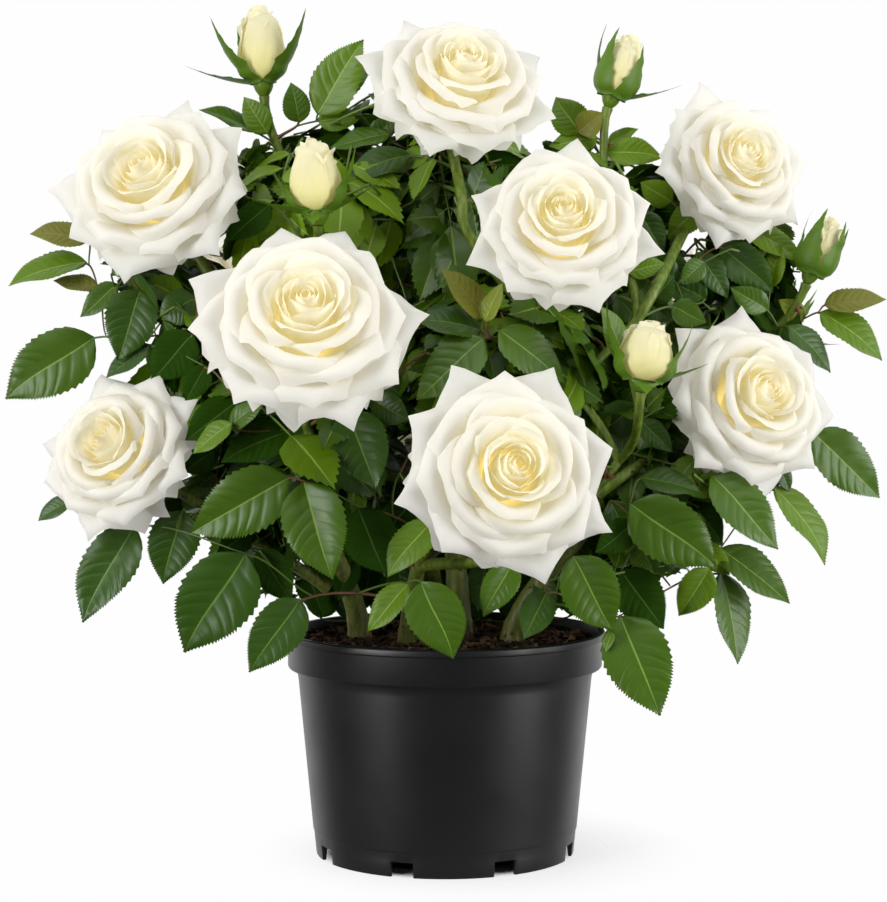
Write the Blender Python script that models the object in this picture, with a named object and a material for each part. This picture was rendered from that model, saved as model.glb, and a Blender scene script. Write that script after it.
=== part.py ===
"""Rose bush in its nursery pot, in metres, +Z up. The front is -Y, and the origin is the middle of the pot's
underside. The canes rise from the soil and end where they enter the foliage, which is cut into separate masses
round the flower stems, the open roses and the buds."""

import math
import random

import bmesh
import bpy
from mathutils import Matrix, Vector
from mathutils.geometry import interpolate_bezier

GAP = 0.0003  # left between two pieces that touch
SWELL = 0.00045  # a cutter's corners stand this far proud of its piece, and its faces about the gap

# The pot: a tapered body under an upright band and a lip, on a foot ring round a drained channel
POT_HEIGHT = 0.1206
POT_SIDES = 28
WALL = 0.0018
FOOT_RADIUS = 0.0698
SHOULDER_RADIUS = 0.0804
BAND_RADIUS = 0.0850
LIP_RADIUS = 0.0868
LIP_HEIGHT = 0.0040
BAND_FOOT = 0.1012  # height of the band's lower edge
SHOULDER_RISE = 0.0006  # the band's underside slopes by this much
PAD_RADIUS = 0.0500
CHANNEL_DEPTH = 0.0085
CHANNEL_DRAFT = 0.0008  # the channel's sides lean by this much
NOTCH_COUNT = 8
NOTCH_FIRST = 26.4  # degrees from the front towards +X
NOTCH_WIDTH = 0.0125
NOTCH_HEIGHT = 0.0080

# The soil stands a little below the rim, flat in the middle and lower at the wall
SOIL_TOP = 0.1128
SOIL_FLAT_RADIUS = 0.0600
SOIL_EDGE_DROP = 0.0016

# Each cane: foot on the soil, tip inside the foliage, radius at the foot and at the tip
CANE_SIDES = 8
CANE_RINGS = 6
CANE_FLARE = 1.35
CANES = {
    "cane_left": ((-0.046, 0.004), (-0.070, -0.030, 0.190), 0.0060, 0.0042),
    "cane_front": ((-0.020, -0.022), (-0.012, -0.060, 0.172), 0.0050, 0.0036),
    "cane_middle": ((0.008, 0.010), (0.004, 0.004, 0.182), 0.0066, 0.0050),
    "cane_right": ((0.036, -0.008), (0.076, -0.030, 0.182), 0.0058, 0.0042),
    "cane_back": ((-0.004, 0.036), (-0.014, 0.074, 0.178), 0.0056, 0.0042),
}

# The side shoot that leaves the left cane and carries the lowest rose on the left
SHOOT_START = (-0.0635, -0.0020, 0.1440)
SHOOT_RADII = (0.0032, 0.0026)

# Each open rose: middle of its rim, the turn of its face from the front towards +X and its rise above level, in
# degrees, and its outer radius
ROSES = {
    "rose_top_left": ((-0.150, -0.060, 0.356), -16, 30, 0.056),
    "rose_top": ((0.008, -0.040, 0.410), 14, 40, 0.054),
    "rose_top_right": ((0.152, -0.030, 0.369), 23, 22, 0.047),
    "rose_upper_right": ((0.058, -0.105, 0.334), 0, 27, 0.050),
    "rose_left": ((-0.068, -0.130, 0.286), 6, 33, 0.061),
    "rose_low_left": ((-0.167, -0.070, 0.221), -28, 24, 0.048),
    "rose_right": ((0.156, -0.070, 0.247), 26, 18, 0.052),
    "rose_front": ((0.030, -0.150, 0.214), 12, 16, 0.057),
    "rose_back_left": ((-0.122, 0.128, 0.304), 142, 32, 0.052),
    "rose_back": ((-0.006, 0.160, 0.232), 184, 20, 0.056),
    "rose_back_right": ((0.128, 0.126, 0.296), 222, 30, 0.050),
    "rose_back_top": ((0.012, 0.118, 0.362), 176, 48, 0.047),
}
ROSE_SIDES = 16
# Rings of a rose as shares of its radius: distance from the axis and height above the middle of the rim
ROSE_RINGS = ((0.14, -0.42), (1.00, -0.02), (0.68, 0.24), (0.34, 0.38))
ROSE_TOP = 0.36
ROSE_RIM_RING = 1
ROSE_NOTCH = 0.87  # the rim between two outer petals, as a share of the radius

# Each bud: foot of its hip, tip of its petals, radius at its belly
BUDS = {
    "bud_top_left": ((-0.097, 0.000, 0.408), (-0.100, 0.000, 0.458), 0.0127),
    "bud_left": ((-0.064, -0.080, 0.335), (-0.067, -0.080, 0.380), 0.0135),
    "bud_top_right": ((0.086, -0.020, 0.400), (0.099, -0.020, 0.439), 0.0120),
    "bud_right": ((0.190, -0.030, 0.307), (0.204, -0.030, 0.343), 0.0110),
    "bud_front_right": ((0.096, -0.115, 0.252), (0.101, -0.115, 0.288), 0.0130),
    "bud_back_left": ((-0.066, 0.098, 0.352), (-0.070, 0.108, 0.392), 0.0120),
    "bud_back_right": ((0.182, 0.062, 0.276), (0.196, 0.070, 0.310), 0.0115),
}
BUD_SIDES = 8
# Rings of a bud: radius as a share of its belly, height as a share of its length
BUD_RINGS = ((0.34, 0.00), (0.88, 0.28), (1.00, 0.54), (0.72, 0.82), (0.30, 1.00))

# Each flower stem: its flower and where its lower end enters the foliage
STEMS = {
    "stem_top_left": ("rose_top_left", (-0.116, -0.030, 0.300)),
    "stem_top": ("rose_top", (0.006, -0.014, 0.340)),
    "stem_top_right": ("rose_top_right", (0.114, -0.006, 0.318)),
    "stem_upper_right": ("rose_upper_right", (0.046, -0.062, 0.284)),
    "stem_left": ("rose_left", (-0.066, -0.076, 0.226)),
    "stem_right": ("rose_right", (0.112, -0.036, 0.212)),
    "stem_front": ("rose_front", (0.018, -0.084, 0.166)),
    "stem_back_left": ("rose_back_left", (-0.094, 0.086, 0.262)),
    "stem_back": ("rose_back", (-0.004, 0.120, 0.186)),
    "stem_back_right": ("rose_back_right", (0.100, 0.088, 0.256)),
    "stem_bud_top_left": ("bud_top_left", (-0.084, 0.000, 0.366)),
    "stem_bud_left": ("bud_left", (-0.070, -0.036, 0.314)),
    "stem_bud_top_right": ("bud_top_right", (0.082, -0.018, 0.364)),
    "stem_bud_right": ("bud_right", (0.176, -0.022, 0.284)),
    "stem_bud_front_right": ("bud_front_right", (0.088, -0.076, 0.216)),
    "stem_bud_back_left": ("bud_back_left", (-0.062, 0.082, 0.310)),
    "stem_bud_back_right": ("bud_back_right", (0.150, 0.060, 0.250)),
}
STEM_SIDES = 6
STEM_RINGS = 4
ROSE_STEM_RADIUS = 0.0028
BUD_STEM_RADIUS = 0.0023
HIP_RADIUS = 0.0042  # the swelling right under a flower

# Each foliage mass: centre, half-widths along X, Y and Z, and the leaf tips it reaches
MASSES = {
    "foliage_low_left": ((-0.128, -0.030, 0.172), (0.062, 0.068, 0.038),
                         ((-0.185, -0.070, 0.135), (-0.130, -0.090, 0.120), (-0.098, -0.084, 0.108))),
    "foliage_low_front": ((-0.004, -0.078, 0.160), (0.080, 0.036, 0.026), ((0.002, -0.110, 0.121),)),
    "foliage_low_right": ((0.112, -0.032, 0.162), (0.058, 0.066, 0.038),
                          ((0.108, -0.090, 0.090), (0.151, -0.070, 0.114), (0.176, -0.055, 0.150))),
    "foliage_mid_left": ((-0.078, -0.046, 0.226), (0.062, 0.060, 0.048), ((-0.036, -0.104, 0.206),)),
    "foliage_mid": ((0.030, -0.030, 0.262), (0.066, 0.064, 0.050), ((-0.008, -0.100, 0.254),)),
    "foliage_mid_right": ((0.118, -0.036, 0.222), (0.054, 0.056, 0.046), ((0.140, -0.086, 0.166),)),
    "foliage_left": ((-0.160, 0.000, 0.286), (0.046, 0.068, 0.048),
                     ((-0.232, -0.030, 0.247), (-0.228, -0.030, 0.308))),
    "foliage_right": ((0.168, 0.000, 0.306), (0.042, 0.064, 0.044),
                      ((0.229, -0.030, 0.269), (0.231, -0.024, 0.302))),
    "foliage_right_low": ((0.184, -0.008, 0.228), (0.034, 0.062, 0.038),
                          ((0.226, -0.050, 0.196), (0.198, -0.060, 0.160))),
    "foliage_top_left": ((-0.074, 0.002, 0.352), (0.056, 0.066, 0.050), ((-0.044, -0.010, 0.436),)),
    "foliage_top": ((0.008, 0.006, 0.350), (0.044, 0.060, 0.050), ()),
    "foliage_top_right": ((0.098, 0.002, 0.346), (0.054, 0.066, 0.050), ((0.084, -0.010, 0.410),)),
    "foliage_back_low": ((0.004, 0.092, 0.176), (0.128, 0.056, 0.042), ((0.096, 0.122, 0.114),)),
    "foliage_back_left": ((-0.100, 0.082, 0.262), (0.068, 0.066, 0.056), ((-0.178, 0.110, 0.250),)),
    "foliage_back_right": ((0.102, 0.082, 0.258), (0.068, 0.066, 0.056), ((0.186, 0.106, 0.246),)),
    "foliage_back_top": ((0.000, 0.092, 0.304), (0.060, 0.060, 0.054), ()),
}
MASS_DETAIL = 2  # subdivisions of the sphere of triangles, and one more where several leaf tips stand out
MASS_SEED = 7
LUMPS = 9
LUMP_SHARE = 0.13  # height of a lump, as a share of the mass's own radius there
LUMP_SPREAD = 0.45  # half-width of a lump, in radians
TIP_SPREAD = 0.22  # half-width of the spray that ends in a leaf tip, in radians

POT_PLASTIC = ("pot_plastic", (0.025, 0.026, 0.027), 0.50)
SOIL = ("soil", (0.045, 0.028, 0.019), 0.95)
CANE_BARK = ("cane_bark", (0.16, 0.17, 0.06), 0.60)
STEM_GREEN = ("stem_green", (0.14, 0.24, 0.05), 0.50)
PETAL = ("petal", (0.88, 0.85, 0.72), 0.55)
BUD_PETAL = ("bud_petal", (0.80, 0.82, 0.48), 0.55)
LEAF = ("leaf", (0.030, 0.100, 0.020), 0.40)


def clear_scene():
    for obj in list(bpy.data.objects):
        bpy.data.objects.remove(obj, do_unlink=True)


def material(spec):
    name, colour, roughness = spec
    found = bpy.data.materials.get(name)
    if found:
        return found
    made = bpy.data.materials.new(name)
    made.use_nodes = True
    shader = made.node_tree.nodes["Principled BSDF"]
    shader.inputs["Base Color"].default_value = (*colour, 1.0)
    shader.inputs["Roughness"].default_value = roughness
    shader.inputs["Metallic"].default_value = 0.0
    return made


def add_object(name, bm, spec, place=None):
    """A finished bmesh becomes one named object with its material, at its place."""
    bmesh.ops.recalc_face_normals(bm, faces=bm.faces)
    mesh = bpy.data.meshes.new(name)
    bm.to_mesh(mesh)
    bm.free()
    mesh.materials.append(material(spec))
    obj = bpy.data.objects.new(name, mesh)
    obj.matrix_world = place or Matrix()
    bpy.context.scene.collection.objects.link(obj)
    return obj


def swollen(mesh):
    """A copy of a mesh with each corner moved out along its normal."""
    grown = mesh.copy()
    for vert in grown.vertices:
        vert.co += vert.normal * SWELL
    return grown


def as_cutter(obj):
    obj.hide_render = True
    obj.display_type = "WIRE"
    return obj


def turned(profile, sides):
    """A solid turned about Z from a profile of radius and height whose two ends lie on the axis."""
    bm = bmesh.new()
    verts = [bm.verts.new((radius, 0.0, height)) for radius, height in profile]
    edges = [bm.edges.new(pair) for pair in zip(verts, verts[1:])]
    bmesh.ops.spin(bm, geom=verts + edges, cent=(0, 0, 0), axis=(0, 0, 1), angle=math.tau, steps=sides,
                   use_merge=True)
    bmesh.ops.remove_doubles(bm, verts=bm.verts, dist=1e-6)
    return bm


def facing(turn, rise):
    """The unit vector at a turn from the front towards +X and a rise above level, both in degrees."""
    turn, rise = math.radians(turn), math.radians(rise)
    return Vector((math.sin(turn) * math.cos(rise), -math.cos(turn) * math.cos(rise), math.sin(rise)))


def standing_at(place, axis):
    return Matrix.Translation(place) @ axis.to_track_quat("Z", "Y").to_matrix().to_4x4()


def limb(route, radii, sides):
    """A round limb along a route: a capped ring that is extruded from each point to the next."""
    points, first_heading, last_heading = route
    steps = [(b - a).normalized() for a, b in zip(points, points[1:])]
    between = [(a + b).normalized() for a, b in zip(steps, steps[1:])]
    headings = [first_heading] + between + [last_heading]
    turn = headings[0].to_track_quat("Z", "Y")
    places = []
    for index, (point, heading, radius) in enumerate(zip(points, headings, radii)):
        if index:
            turn = headings[index - 1].rotation_difference(heading) @ turn
        places.append(Matrix.LocRotScale(point, turn, Vector((radius, radius, radius))))
    bm = bmesh.new()
    ring = bmesh.ops.create_circle(bm, cap_ends=True, segments=sides, radius=1.0, matrix=places[0])["verts"]
    edges = list(bm.edges)
    for before, after in zip(places, places[1:]):
        grown = bmesh.ops.extrude_edge_only(bm, edges=edges)["geom"]
        ring = [item for item in grown if isinstance(item, bmesh.types.BMVert)]
        edges = [item for item in grown if isinstance(item, bmesh.types.BMEdge)]
        bmesh.ops.transform(bm, matrix=after @ before.inverted(), verts=ring)
    bmesh.ops.edgeloop_fill(bm, edges=edges)
    return bm


def bow(start, start_heading, end, end_heading, rings):
    """A smooth route that leaves the start and reaches the end along the two headings."""
    reach = (end - start).length / 3
    points = interpolate_bezier(start, start + start_heading * reach, end - end_heading * reach, end, rings)
    return points, start_heading, end_heading


def pot():
    top_inside = BAND_RADIUS - WALL
    profile = [
        (0.0, 0.0),
        (PAD_RADIUS, 0.0),
        (PAD_RADIUS + CHANNEL_DRAFT, CHANNEL_DEPTH),
        (FOOT_RADIUS - WALL - CHANNEL_DRAFT, CHANNEL_DEPTH),
        (FOOT_RADIUS - WALL, 0.0),
        (FOOT_RADIUS, 0.0),
        (SHOULDER_RADIUS, BAND_FOOT - SHOULDER_RISE),
        (BAND_RADIUS, BAND_FOOT),
        (BAND_RADIUS, POT_HEIGHT - LIP_HEIGHT),
        (LIP_RADIUS, POT_HEIGHT - LIP_HEIGHT),
        (LIP_RADIUS, POT_HEIGHT),
        (top_inside, POT_HEIGHT),
    ] + pot_inside(0.0)
    body = add_object("pot", turned(profile, POT_SIDES), POT_PLASTIC)
    for index in range(NOTCH_COUNT):
        cutter = notch_cutter(index)
        cut = body.modifiers.new(cutter.name, "BOOLEAN")
        cut.operation = "DIFFERENCE"
        cut.object = cutter
    return body


def pot_inside(clearance):
    """The pot's inner wall and floor, from the band's foot down to the axis, moved inwards by the clearance."""
    floor = CHANNEL_DEPTH + WALL
    foot_radius = FOOT_RADIUS + (SHOULDER_RADIUS - FOOT_RADIUS) * floor / BAND_FOOT - WALL
    return [
        (BAND_RADIUS - WALL - clearance, BAND_FOOT + WALL + clearance),
        (SHOULDER_RADIUS - WALL - clearance, BAND_FOOT - SHOULDER_RISE + clearance),
        (foot_radius - clearance, floor + clearance),
        (PAD_RADIUS + CHANNEL_DRAFT - WALL - clearance, floor + clearance),
        (PAD_RADIUS - WALL - clearance, WALL + clearance),
        (0.0, WALL + clearance),
    ]


def notch_cutter(index):
    """A block across the foot ring, where water leaves the channel."""
    angle = math.radians(NOTCH_FIRST + index * 360.0 / NOTCH_COUNT)
    bm = bmesh.new()
    size = Matrix.Diagonal((NOTCH_WIDTH, FOOT_RADIUS - PAD_RADIUS, 2 * NOTCH_HEIGHT, 1.0))
    bmesh.ops.create_cube(bm, size=1.0, matrix=size)
    place = Matrix.Rotation(angle, 4, "Z") @ Matrix.Translation((0.0, -FOOT_RADIUS, 0.0))
    return as_cutter(add_object(f"notch_cutter_{index}", bm, POT_PLASTIC, place))


def soil():
    profile = [
        (0.0, SOIL_TOP),
        (SOIL_FLAT_RADIUS, SOIL_TOP),
        (BAND_RADIUS - WALL - GAP, SOIL_TOP - SOIL_EDGE_DROP),
    ] + pot_inside(GAP)
    return add_object("soil", turned(profile, POT_SIDES), SOIL)


def cane(foot, tip, foot_radius, tip_radius):
    """A cane that leaves the soil upright from a flared foot and leans over towards its tip."""
    start = Vector((*foot, SOIL_TOP + GAP))
    tip = Vector(tip)
    outwards = (tip - start).normalized()
    route = bow(start, Vector((0, 0, 1)), tip, outwards, CANE_RINGS)
    radii = [foot_radius + (tip_radius - foot_radius) * i / (CANE_RINGS - 1) for i in range(CANE_RINGS)]
    radii[0] *= CANE_FLARE
    return limb(route, radii, CANE_SIDES)


def rose(radius):
    """An open rose facing up, as a turned solid with a scalloped rim of pointed outer petals. Its origin is the
    middle of the rim."""
    rings = [(share * radius, height * radius) for share, height in ROSE_RINGS]
    bm = turned([(0.0, rings[0][1])] + rings + [(0.0, ROSE_TOP * radius)], ROSE_SIDES)
    rim_radius, rim_height = rings[ROSE_RIM_RING]
    for vert in bm.verts:
        on_rim = abs(vert.co.z - rim_height) < 1e-5 and vert.co.xy.length > 0.9 * rim_radius
        step = round(math.atan2(vert.co.y, vert.co.x) / (math.tau / ROSE_SIDES))
        if on_rim and step % 2:
            vert.co.xy *= ROSE_NOTCH
    bmesh.ops.triangulate(bm, faces=bm.faces, quad_method="FIXED")
    return bm


def bud(length, belly):
    """A closed bud standing on its hip, where its origin is."""
    rings = [(share * belly, height * length) for share, height in BUD_RINGS]
    return turned([(0.0, 0.0)] + rings + [(0.0, length)], BUD_SIDES)


def flower_foot(flower):
    """Where a flower's underside is, which way the flower faces, and the radius of the stem under it."""
    if flower in ROSES:
        centre, turn, rise, radius = ROSES[flower]
        axis = facing(turn, rise)
        return Vector(centre) + axis * ROSE_RINGS[0][1] * radius, axis, ROSE_STEM_RADIUS
    foot, tip, _ = BUDS[flower]
    return Vector(foot), (Vector(tip) - Vector(foot)).normalized(), BUD_STEM_RADIUS


def stem(flower, entry):
    """A flower's stem, from just under the flower down to where it enters the foliage."""
    foot, axis, radius = flower_foot(flower)
    entry = Vector(entry)
    inwards = (Vector((0, 0, POT_HEIGHT)) - entry).normalized()
    route = bow(foot - axis * GAP, -axis, entry, inwards, STEM_RINGS)
    radii = [HIP_RADIUS] + [radius] * (STEM_RINGS - 1)
    return limb(route, radii, STEM_SIDES)


def side_shoot():
    foot, axis, _ = flower_foot("rose_low_left")
    start = Vector(SHOOT_START)
    route = bow(start, (foot - start).normalized(), foot - axis * GAP, axis, CANE_RINGS)
    first, last = SHOOT_RADII
    radii = [first + (last - first) * i / (CANE_RINGS - 1) for i in range(CANE_RINGS)]
    radii[-1] = HIP_RADIUS
    return limb(route, radii, STEM_SIDES)


def ellipsoid_radius(direction, half):
    return 1.0 / math.sqrt(sum((d / h) ** 2 for d, h in zip(direction, half)))


def foliage(name, seed):
    """One uneven mass of leaves round its own centre: a sphere of triangles pushed out to its size, its lumps and
    its leaf tips, then cut flat where the next mass begins."""
    centre, half, tips = MASSES[name]
    centre = Vector(centre)
    tips = [Vector(tip) - centre for tip in tips]
    draw = random.Random(seed)
    lumps = []
    for _ in range(LUMPS):
        heading = Vector([draw.gauss(0, 1) for _ in range(3)]).normalized()
        lumps.append((heading, draw.uniform(-LUMP_SHARE, LUMP_SHARE)))
    bm = bmesh.new()
    bmesh.ops.create_icosphere(bm, subdivisions=MASS_DETAIL + (len(tips) > 1), radius=1.0)
    verts = list(bm.verts)
    for tip in tips:
        max(verts, key=lambda vert: vert.co.dot(tip)).co = tip.normalized()
    for vert in verts:
        heading = vert.co.normalized()
        reach = ellipsoid_radius(heading, half)
        for lump, share in lumps:
            reach *= 1 + share * math.exp(-((heading.angle(lump) / LUMP_SPREAD) ** 2))
        for tip in tips:
            extra = tip.length - ellipsoid_radius(tip.normalized(), half)
            reach += extra * math.exp(-((heading.angle(tip) / TIP_SPREAD) ** 2))
        vert.co = heading * reach
    for other, (other_centre, other_half, _) in MASSES.items():
        if other != name:
            cut_between(bm, half, Vector(other_centre) - centre, other_half)
    return bm


def cut_between(bm, half, between, other_half):
    """Cut off what lies past the plane between two masses, at a distance shared out by their sizes."""
    heading = between.normalized()
    own, theirs = ellipsoid_radius(heading, half), ellipsoid_radius(heading, other_half)
    place = between * own / (own + theirs) - heading * GAP / 2
    geometry = list(bm.verts) + list(bm.edges) + list(bm.faces)
    cut = bmesh.ops.bisect_plane(bm, geom=geometry, dist=1e-7, plane_co=place, plane_no=heading, clear_outer=True)
    rim = [item for item in cut["geom_cut"] if isinstance(item, bmesh.types.BMEdge)]
    if rim:
        bmesh.ops.holes_fill(bm, edges=rim, sides=0)


def build():
    clear_scene()
    pot()
    soil()
    cutters = bpy.data.collections.new("cutters")
    bpy.context.scene.collection.children.link(cutters)

    def piece(name, bm, spec, place=None):
        """A piece of the plant, and a slightly swollen copy of it that cuts its room out of the foliage."""
        made = add_object(name, bm, spec, place)
        cutter = as_cutter(bpy.data.objects.new(f"{name}_cutter", swollen(made.data)))
        cutter.matrix_world = made.matrix_world
        cutters.objects.link(cutter)

    for name, row in CANES.items():
        piece(name, cane(*row), CANE_BARK)
    piece("side_shoot_left", side_shoot(), CANE_BARK)
    for name, (centre, turn, rise, radius) in ROSES.items():
        piece(name, rose(radius), PETAL, standing_at(centre, facing(turn, rise)))
    for name, (foot, tip, belly) in BUDS.items():
        upwards = Vector(tip) - Vector(foot)
        piece(name, bud(upwards.length, belly), BUD_PETAL, standing_at(foot, upwards))
    for name, row in STEMS.items():
        piece(name, stem(*row), STEM_GREEN)
    for index, (name, (centre, _, _)) in enumerate(MASSES.items()):
        mass = add_object(name, foliage(name, MASS_SEED + index), LEAF, Matrix.Translation(centre))
        cut = mass.modifiers.new("room_for_flowers_and_stems", "BOOLEAN")
        cut.operation = "DIFFERENCE"
        cut.operand_type = "COLLECTION"
        cut.collection = cutters


build()
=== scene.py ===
import math
import random
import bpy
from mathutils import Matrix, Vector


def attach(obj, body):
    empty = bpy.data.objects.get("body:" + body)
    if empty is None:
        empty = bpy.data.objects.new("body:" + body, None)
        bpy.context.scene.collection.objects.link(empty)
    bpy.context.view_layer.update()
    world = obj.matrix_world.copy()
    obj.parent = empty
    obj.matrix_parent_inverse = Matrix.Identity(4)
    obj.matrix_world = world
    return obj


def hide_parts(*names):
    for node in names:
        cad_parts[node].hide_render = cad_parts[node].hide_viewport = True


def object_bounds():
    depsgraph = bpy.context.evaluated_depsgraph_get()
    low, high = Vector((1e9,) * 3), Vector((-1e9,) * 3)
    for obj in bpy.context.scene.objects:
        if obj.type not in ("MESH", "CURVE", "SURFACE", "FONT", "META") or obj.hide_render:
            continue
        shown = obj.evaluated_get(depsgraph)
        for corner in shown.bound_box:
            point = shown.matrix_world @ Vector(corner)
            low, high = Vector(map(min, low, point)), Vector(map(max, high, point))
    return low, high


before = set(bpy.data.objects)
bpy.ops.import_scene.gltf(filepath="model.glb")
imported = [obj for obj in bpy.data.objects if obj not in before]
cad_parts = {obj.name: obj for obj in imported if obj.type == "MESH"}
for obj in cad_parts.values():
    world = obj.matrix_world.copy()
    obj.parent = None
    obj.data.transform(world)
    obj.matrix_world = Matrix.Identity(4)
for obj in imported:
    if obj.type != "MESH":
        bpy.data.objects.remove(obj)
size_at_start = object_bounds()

from types import SimpleNamespace

import bmesh
import bpy
import numpy as np
from mathutils import Matrix, Vector, noise
from mathutils.bvhtree import BVHTree
from mathutils.geometry import interpolate_bezier

# ---- Camera, floor and light -------------------------------------------------------------------------------
# A plant on a white studio table. The camera stands at the height of the blooms and looks a little down.
# The room is bright above, at the sides and behind, and dim in front, which keeps the middle of the pot dark.
FRAME_SIZE = (887, 902)  # pixels
FOCAL_PIXELS = 2316.0
CAMERA_PLACE = Vector((-0.0008, -1.25, 0.2775))
CAMERA_DROP = math.radians(2.75)


def placed(name, data):
    """A new object in the scene, at the origin."""
    made = bpy.data.objects.new(name, data)
    bpy.context.scene.collection.objects.link(made)
    return made


camera = placed("camera", bpy.data.cameras.new("camera"))
camera.location = CAMERA_PLACE
camera.rotation_euler = (math.radians(90) - CAMERA_DROP, 0, 0)
camera.data.lens = FOCAL_PIXELS / FRAME_SIZE[1] * camera.data.sensor_width
camera.data.clip_start, camera.data.clip_end = 0.05, 30
bpy.context.scene.camera = camera
bpy.context.scene.view_settings.view_transform = "Standard"
# Light goes from petal to petal many times before it leaves a bloom
bpy.context.scene.cycles.diffuse_bounces = 12


def linear(code):
    """A colour written as sRGB hex, as the linear numbers that a socket holds."""
    shares = [int(code[at:at + 2], 16) / 255 for at in (0, 2, 4)]
    return (*(s / 12.92 if s <= 0.04045 else ((s + 0.055) / 1.055) ** 2.4 for s in shares), 1.0)


def add_node(tree, kind, inputs=None, stops=(), **settings):
    """A node with its settings. Its inputs are linked or set, and a colour ramp has stops of (place, hex)."""
    made = tree.nodes.new(kind)
    for name, value in settings.items():
        setattr(made, name, value)
    for name, value in (inputs or {}).items():
        if isinstance(value, bpy.types.NodeSocket):
            tree.links.new(value, made.inputs[name])
        else:
            made.inputs[name].default_value = value
    for index, (place, colour) in enumerate(stops):
        elements = made.color_ramp.elements
        element = elements[index] if index < 2 else elements.new(place)
        element.position, element.color = place, linear(colour)
    return made


def finish_of(name, colour, roughness, **more):
    """A material of one colour, its shader and its tree. Further settings are the shader's socket names."""
    made = bpy.data.materials.new(name)
    made.use_nodes = True
    shader = made.node_tree.nodes["Principled BSDF"]
    shader.inputs["Base Color"].default_value = linear(colour)
    shader.inputs["Roughness"].default_value = roughness
    for socket, value in more.items():
        shader.inputs[socket.replace("_", " ")].default_value = value
    made.diffuse_color = linear(colour)
    return made, shader, made.node_tree


def mesh_from(bm, name, smooth=True):
    """The mesh of a finished shape."""
    for face in bm.faces:
        face.smooth = smooth
    mesh = bpy.data.meshes.new(name)
    bm.to_mesh(mesh)
    bm.free()
    return mesh


ROOM_FRONT = (0.0, -0.80, -0.60)  # where the room is dimmest: in front and below
ROOM_BRIGHT, ROOM_DIM = 0.98, 0.13  # strength of its light behind and in front
world = bpy.data.worlds.new("studio_room")
world.use_nodes = True
bpy.context.scene.world = world
room = world.node_tree
room.nodes.clear()
heading = add_node(room, "ShaderNodeTexCoord").outputs["Generated"]
frontness = add_node(room, "ShaderNodeVectorMath", {0: heading, 1: ROOM_FRONT}, operation="DOT_PRODUCT")
brightness = add_node(room, "ShaderNodeMapRange", {"Value": frontness.outputs["Value"], "From Min": -0.55,
                      "From Max": 0.05, "To Min": ROOM_BRIGHT, "To Max": ROOM_DIM},
                      interpolation_type="SMOOTHSTEP")
seen = add_node(room, "ShaderNodeLightPath").outputs["Is Camera Ray"]
strength = add_node(room, "ShaderNodeMix", {0: seen, 2: brightness.outputs["Result"], 3: 1.0})
air = add_node(room, "ShaderNodeBackground", {"Color": linear("fefefe"), "Strength": strength.outputs[0]})
add_node(room, "ShaderNodeOutputWorld", {"Surface": air.outputs["Background"]})

for lamp, place, aim, size, watts in (
    ("softbox_left", (-1.15, -1.03, 0.40), (0.0, 0.0, 0.22), (0.50, 1.5), 18.5),
    ("softbox_right", (1.35, -0.68, 0.35), (0.0, 0.0, 0.22), (0.80, 1.5), 20.0),
    ("overhead", (0.00, -1.10, 1.45), (0.0, 0.0, 0.25), (1.4, 0.8), 6.4),
):
    light = bpy.data.lights.new(lamp, "AREA")
    light.shape, light.size, light.size_y, light.energy = "RECTANGLE", size[0], size[1], watts
    holder = placed(lamp, light)
    holder.location = place
    holder.rotation_euler = (Vector(aim) - Vector(place)).to_track_quat("-Z", "Y").to_euler()

# White tabletop that fades into the room's white well away from the pot, so no horizon shows
TABLE_RADIUS, SHADE_SHIFT = 1.6, 0.018  # the shade is deeper to the pot's right
SHADE_ENDS, SOLID_ENDS = (0.045, 0.130), (0.060, 0.071)  # from and to where the shade and the table fade
bm = bmesh.new()
bmesh.ops.create_circle(bm, cap_ends=True, segments=96, radius=TABLE_RADIUS)
table_white, shader, tree = finish_of("white_tabletop", "f7f7f7", 0.55)
spot = add_node(tree, "ShaderNodeTexCoord").outputs["Object"]
aside = add_node(tree, "ShaderNodeVectorMath", {0: spot, 1: (SHADE_SHIFT, 0.0, 0.0)}, operation="SUBTRACT")
reach = add_node(tree, "ShaderNodeVectorMath", {0: aside.outputs["Vector"]}, operation="LENGTH")
fade = add_node(tree, "ShaderNodeMapRange", {"Value": reach.outputs["Value"], "From Min": SHADE_ENDS[0],
                "From Max": SHADE_ENDS[1], "To Min": 0.66}, interpolation_type="SMOOTHSTEP")
# Under the pot it is solid, so the slots in the pot's foot look into shade
far = add_node(tree, "ShaderNodeVectorMath", {0: spot}, operation="LENGTH")
beside = add_node(tree, "ShaderNodeMapRange", {"Value": far.outputs["Value"], "From Min": SOLID_ENDS[0],
                  "From Max": SOLID_ENDS[1]}, interpolation_type="SMOOTHSTEP")
share = add_node(tree, "ShaderNodeMath", {0: fade.outputs[0], 1: beside.outputs[0]}, operation="MULTIPLY")
clear = add_node(tree, "ShaderNodeBsdfTransparent")
sockets = {0: share.outputs[0], 1: shader.outputs[0], 2: clear.outputs[0]}
blend = add_node(tree, "ShaderNodeMixShader", sockets)
tree.links.new(blend.outputs[0], tree.nodes["Material Output"].inputs["Surface"])
floor = placed("tabletop", mesh_from(bm, "tabletop", smooth=False))
floor.data.materials.append(table_white)

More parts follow.
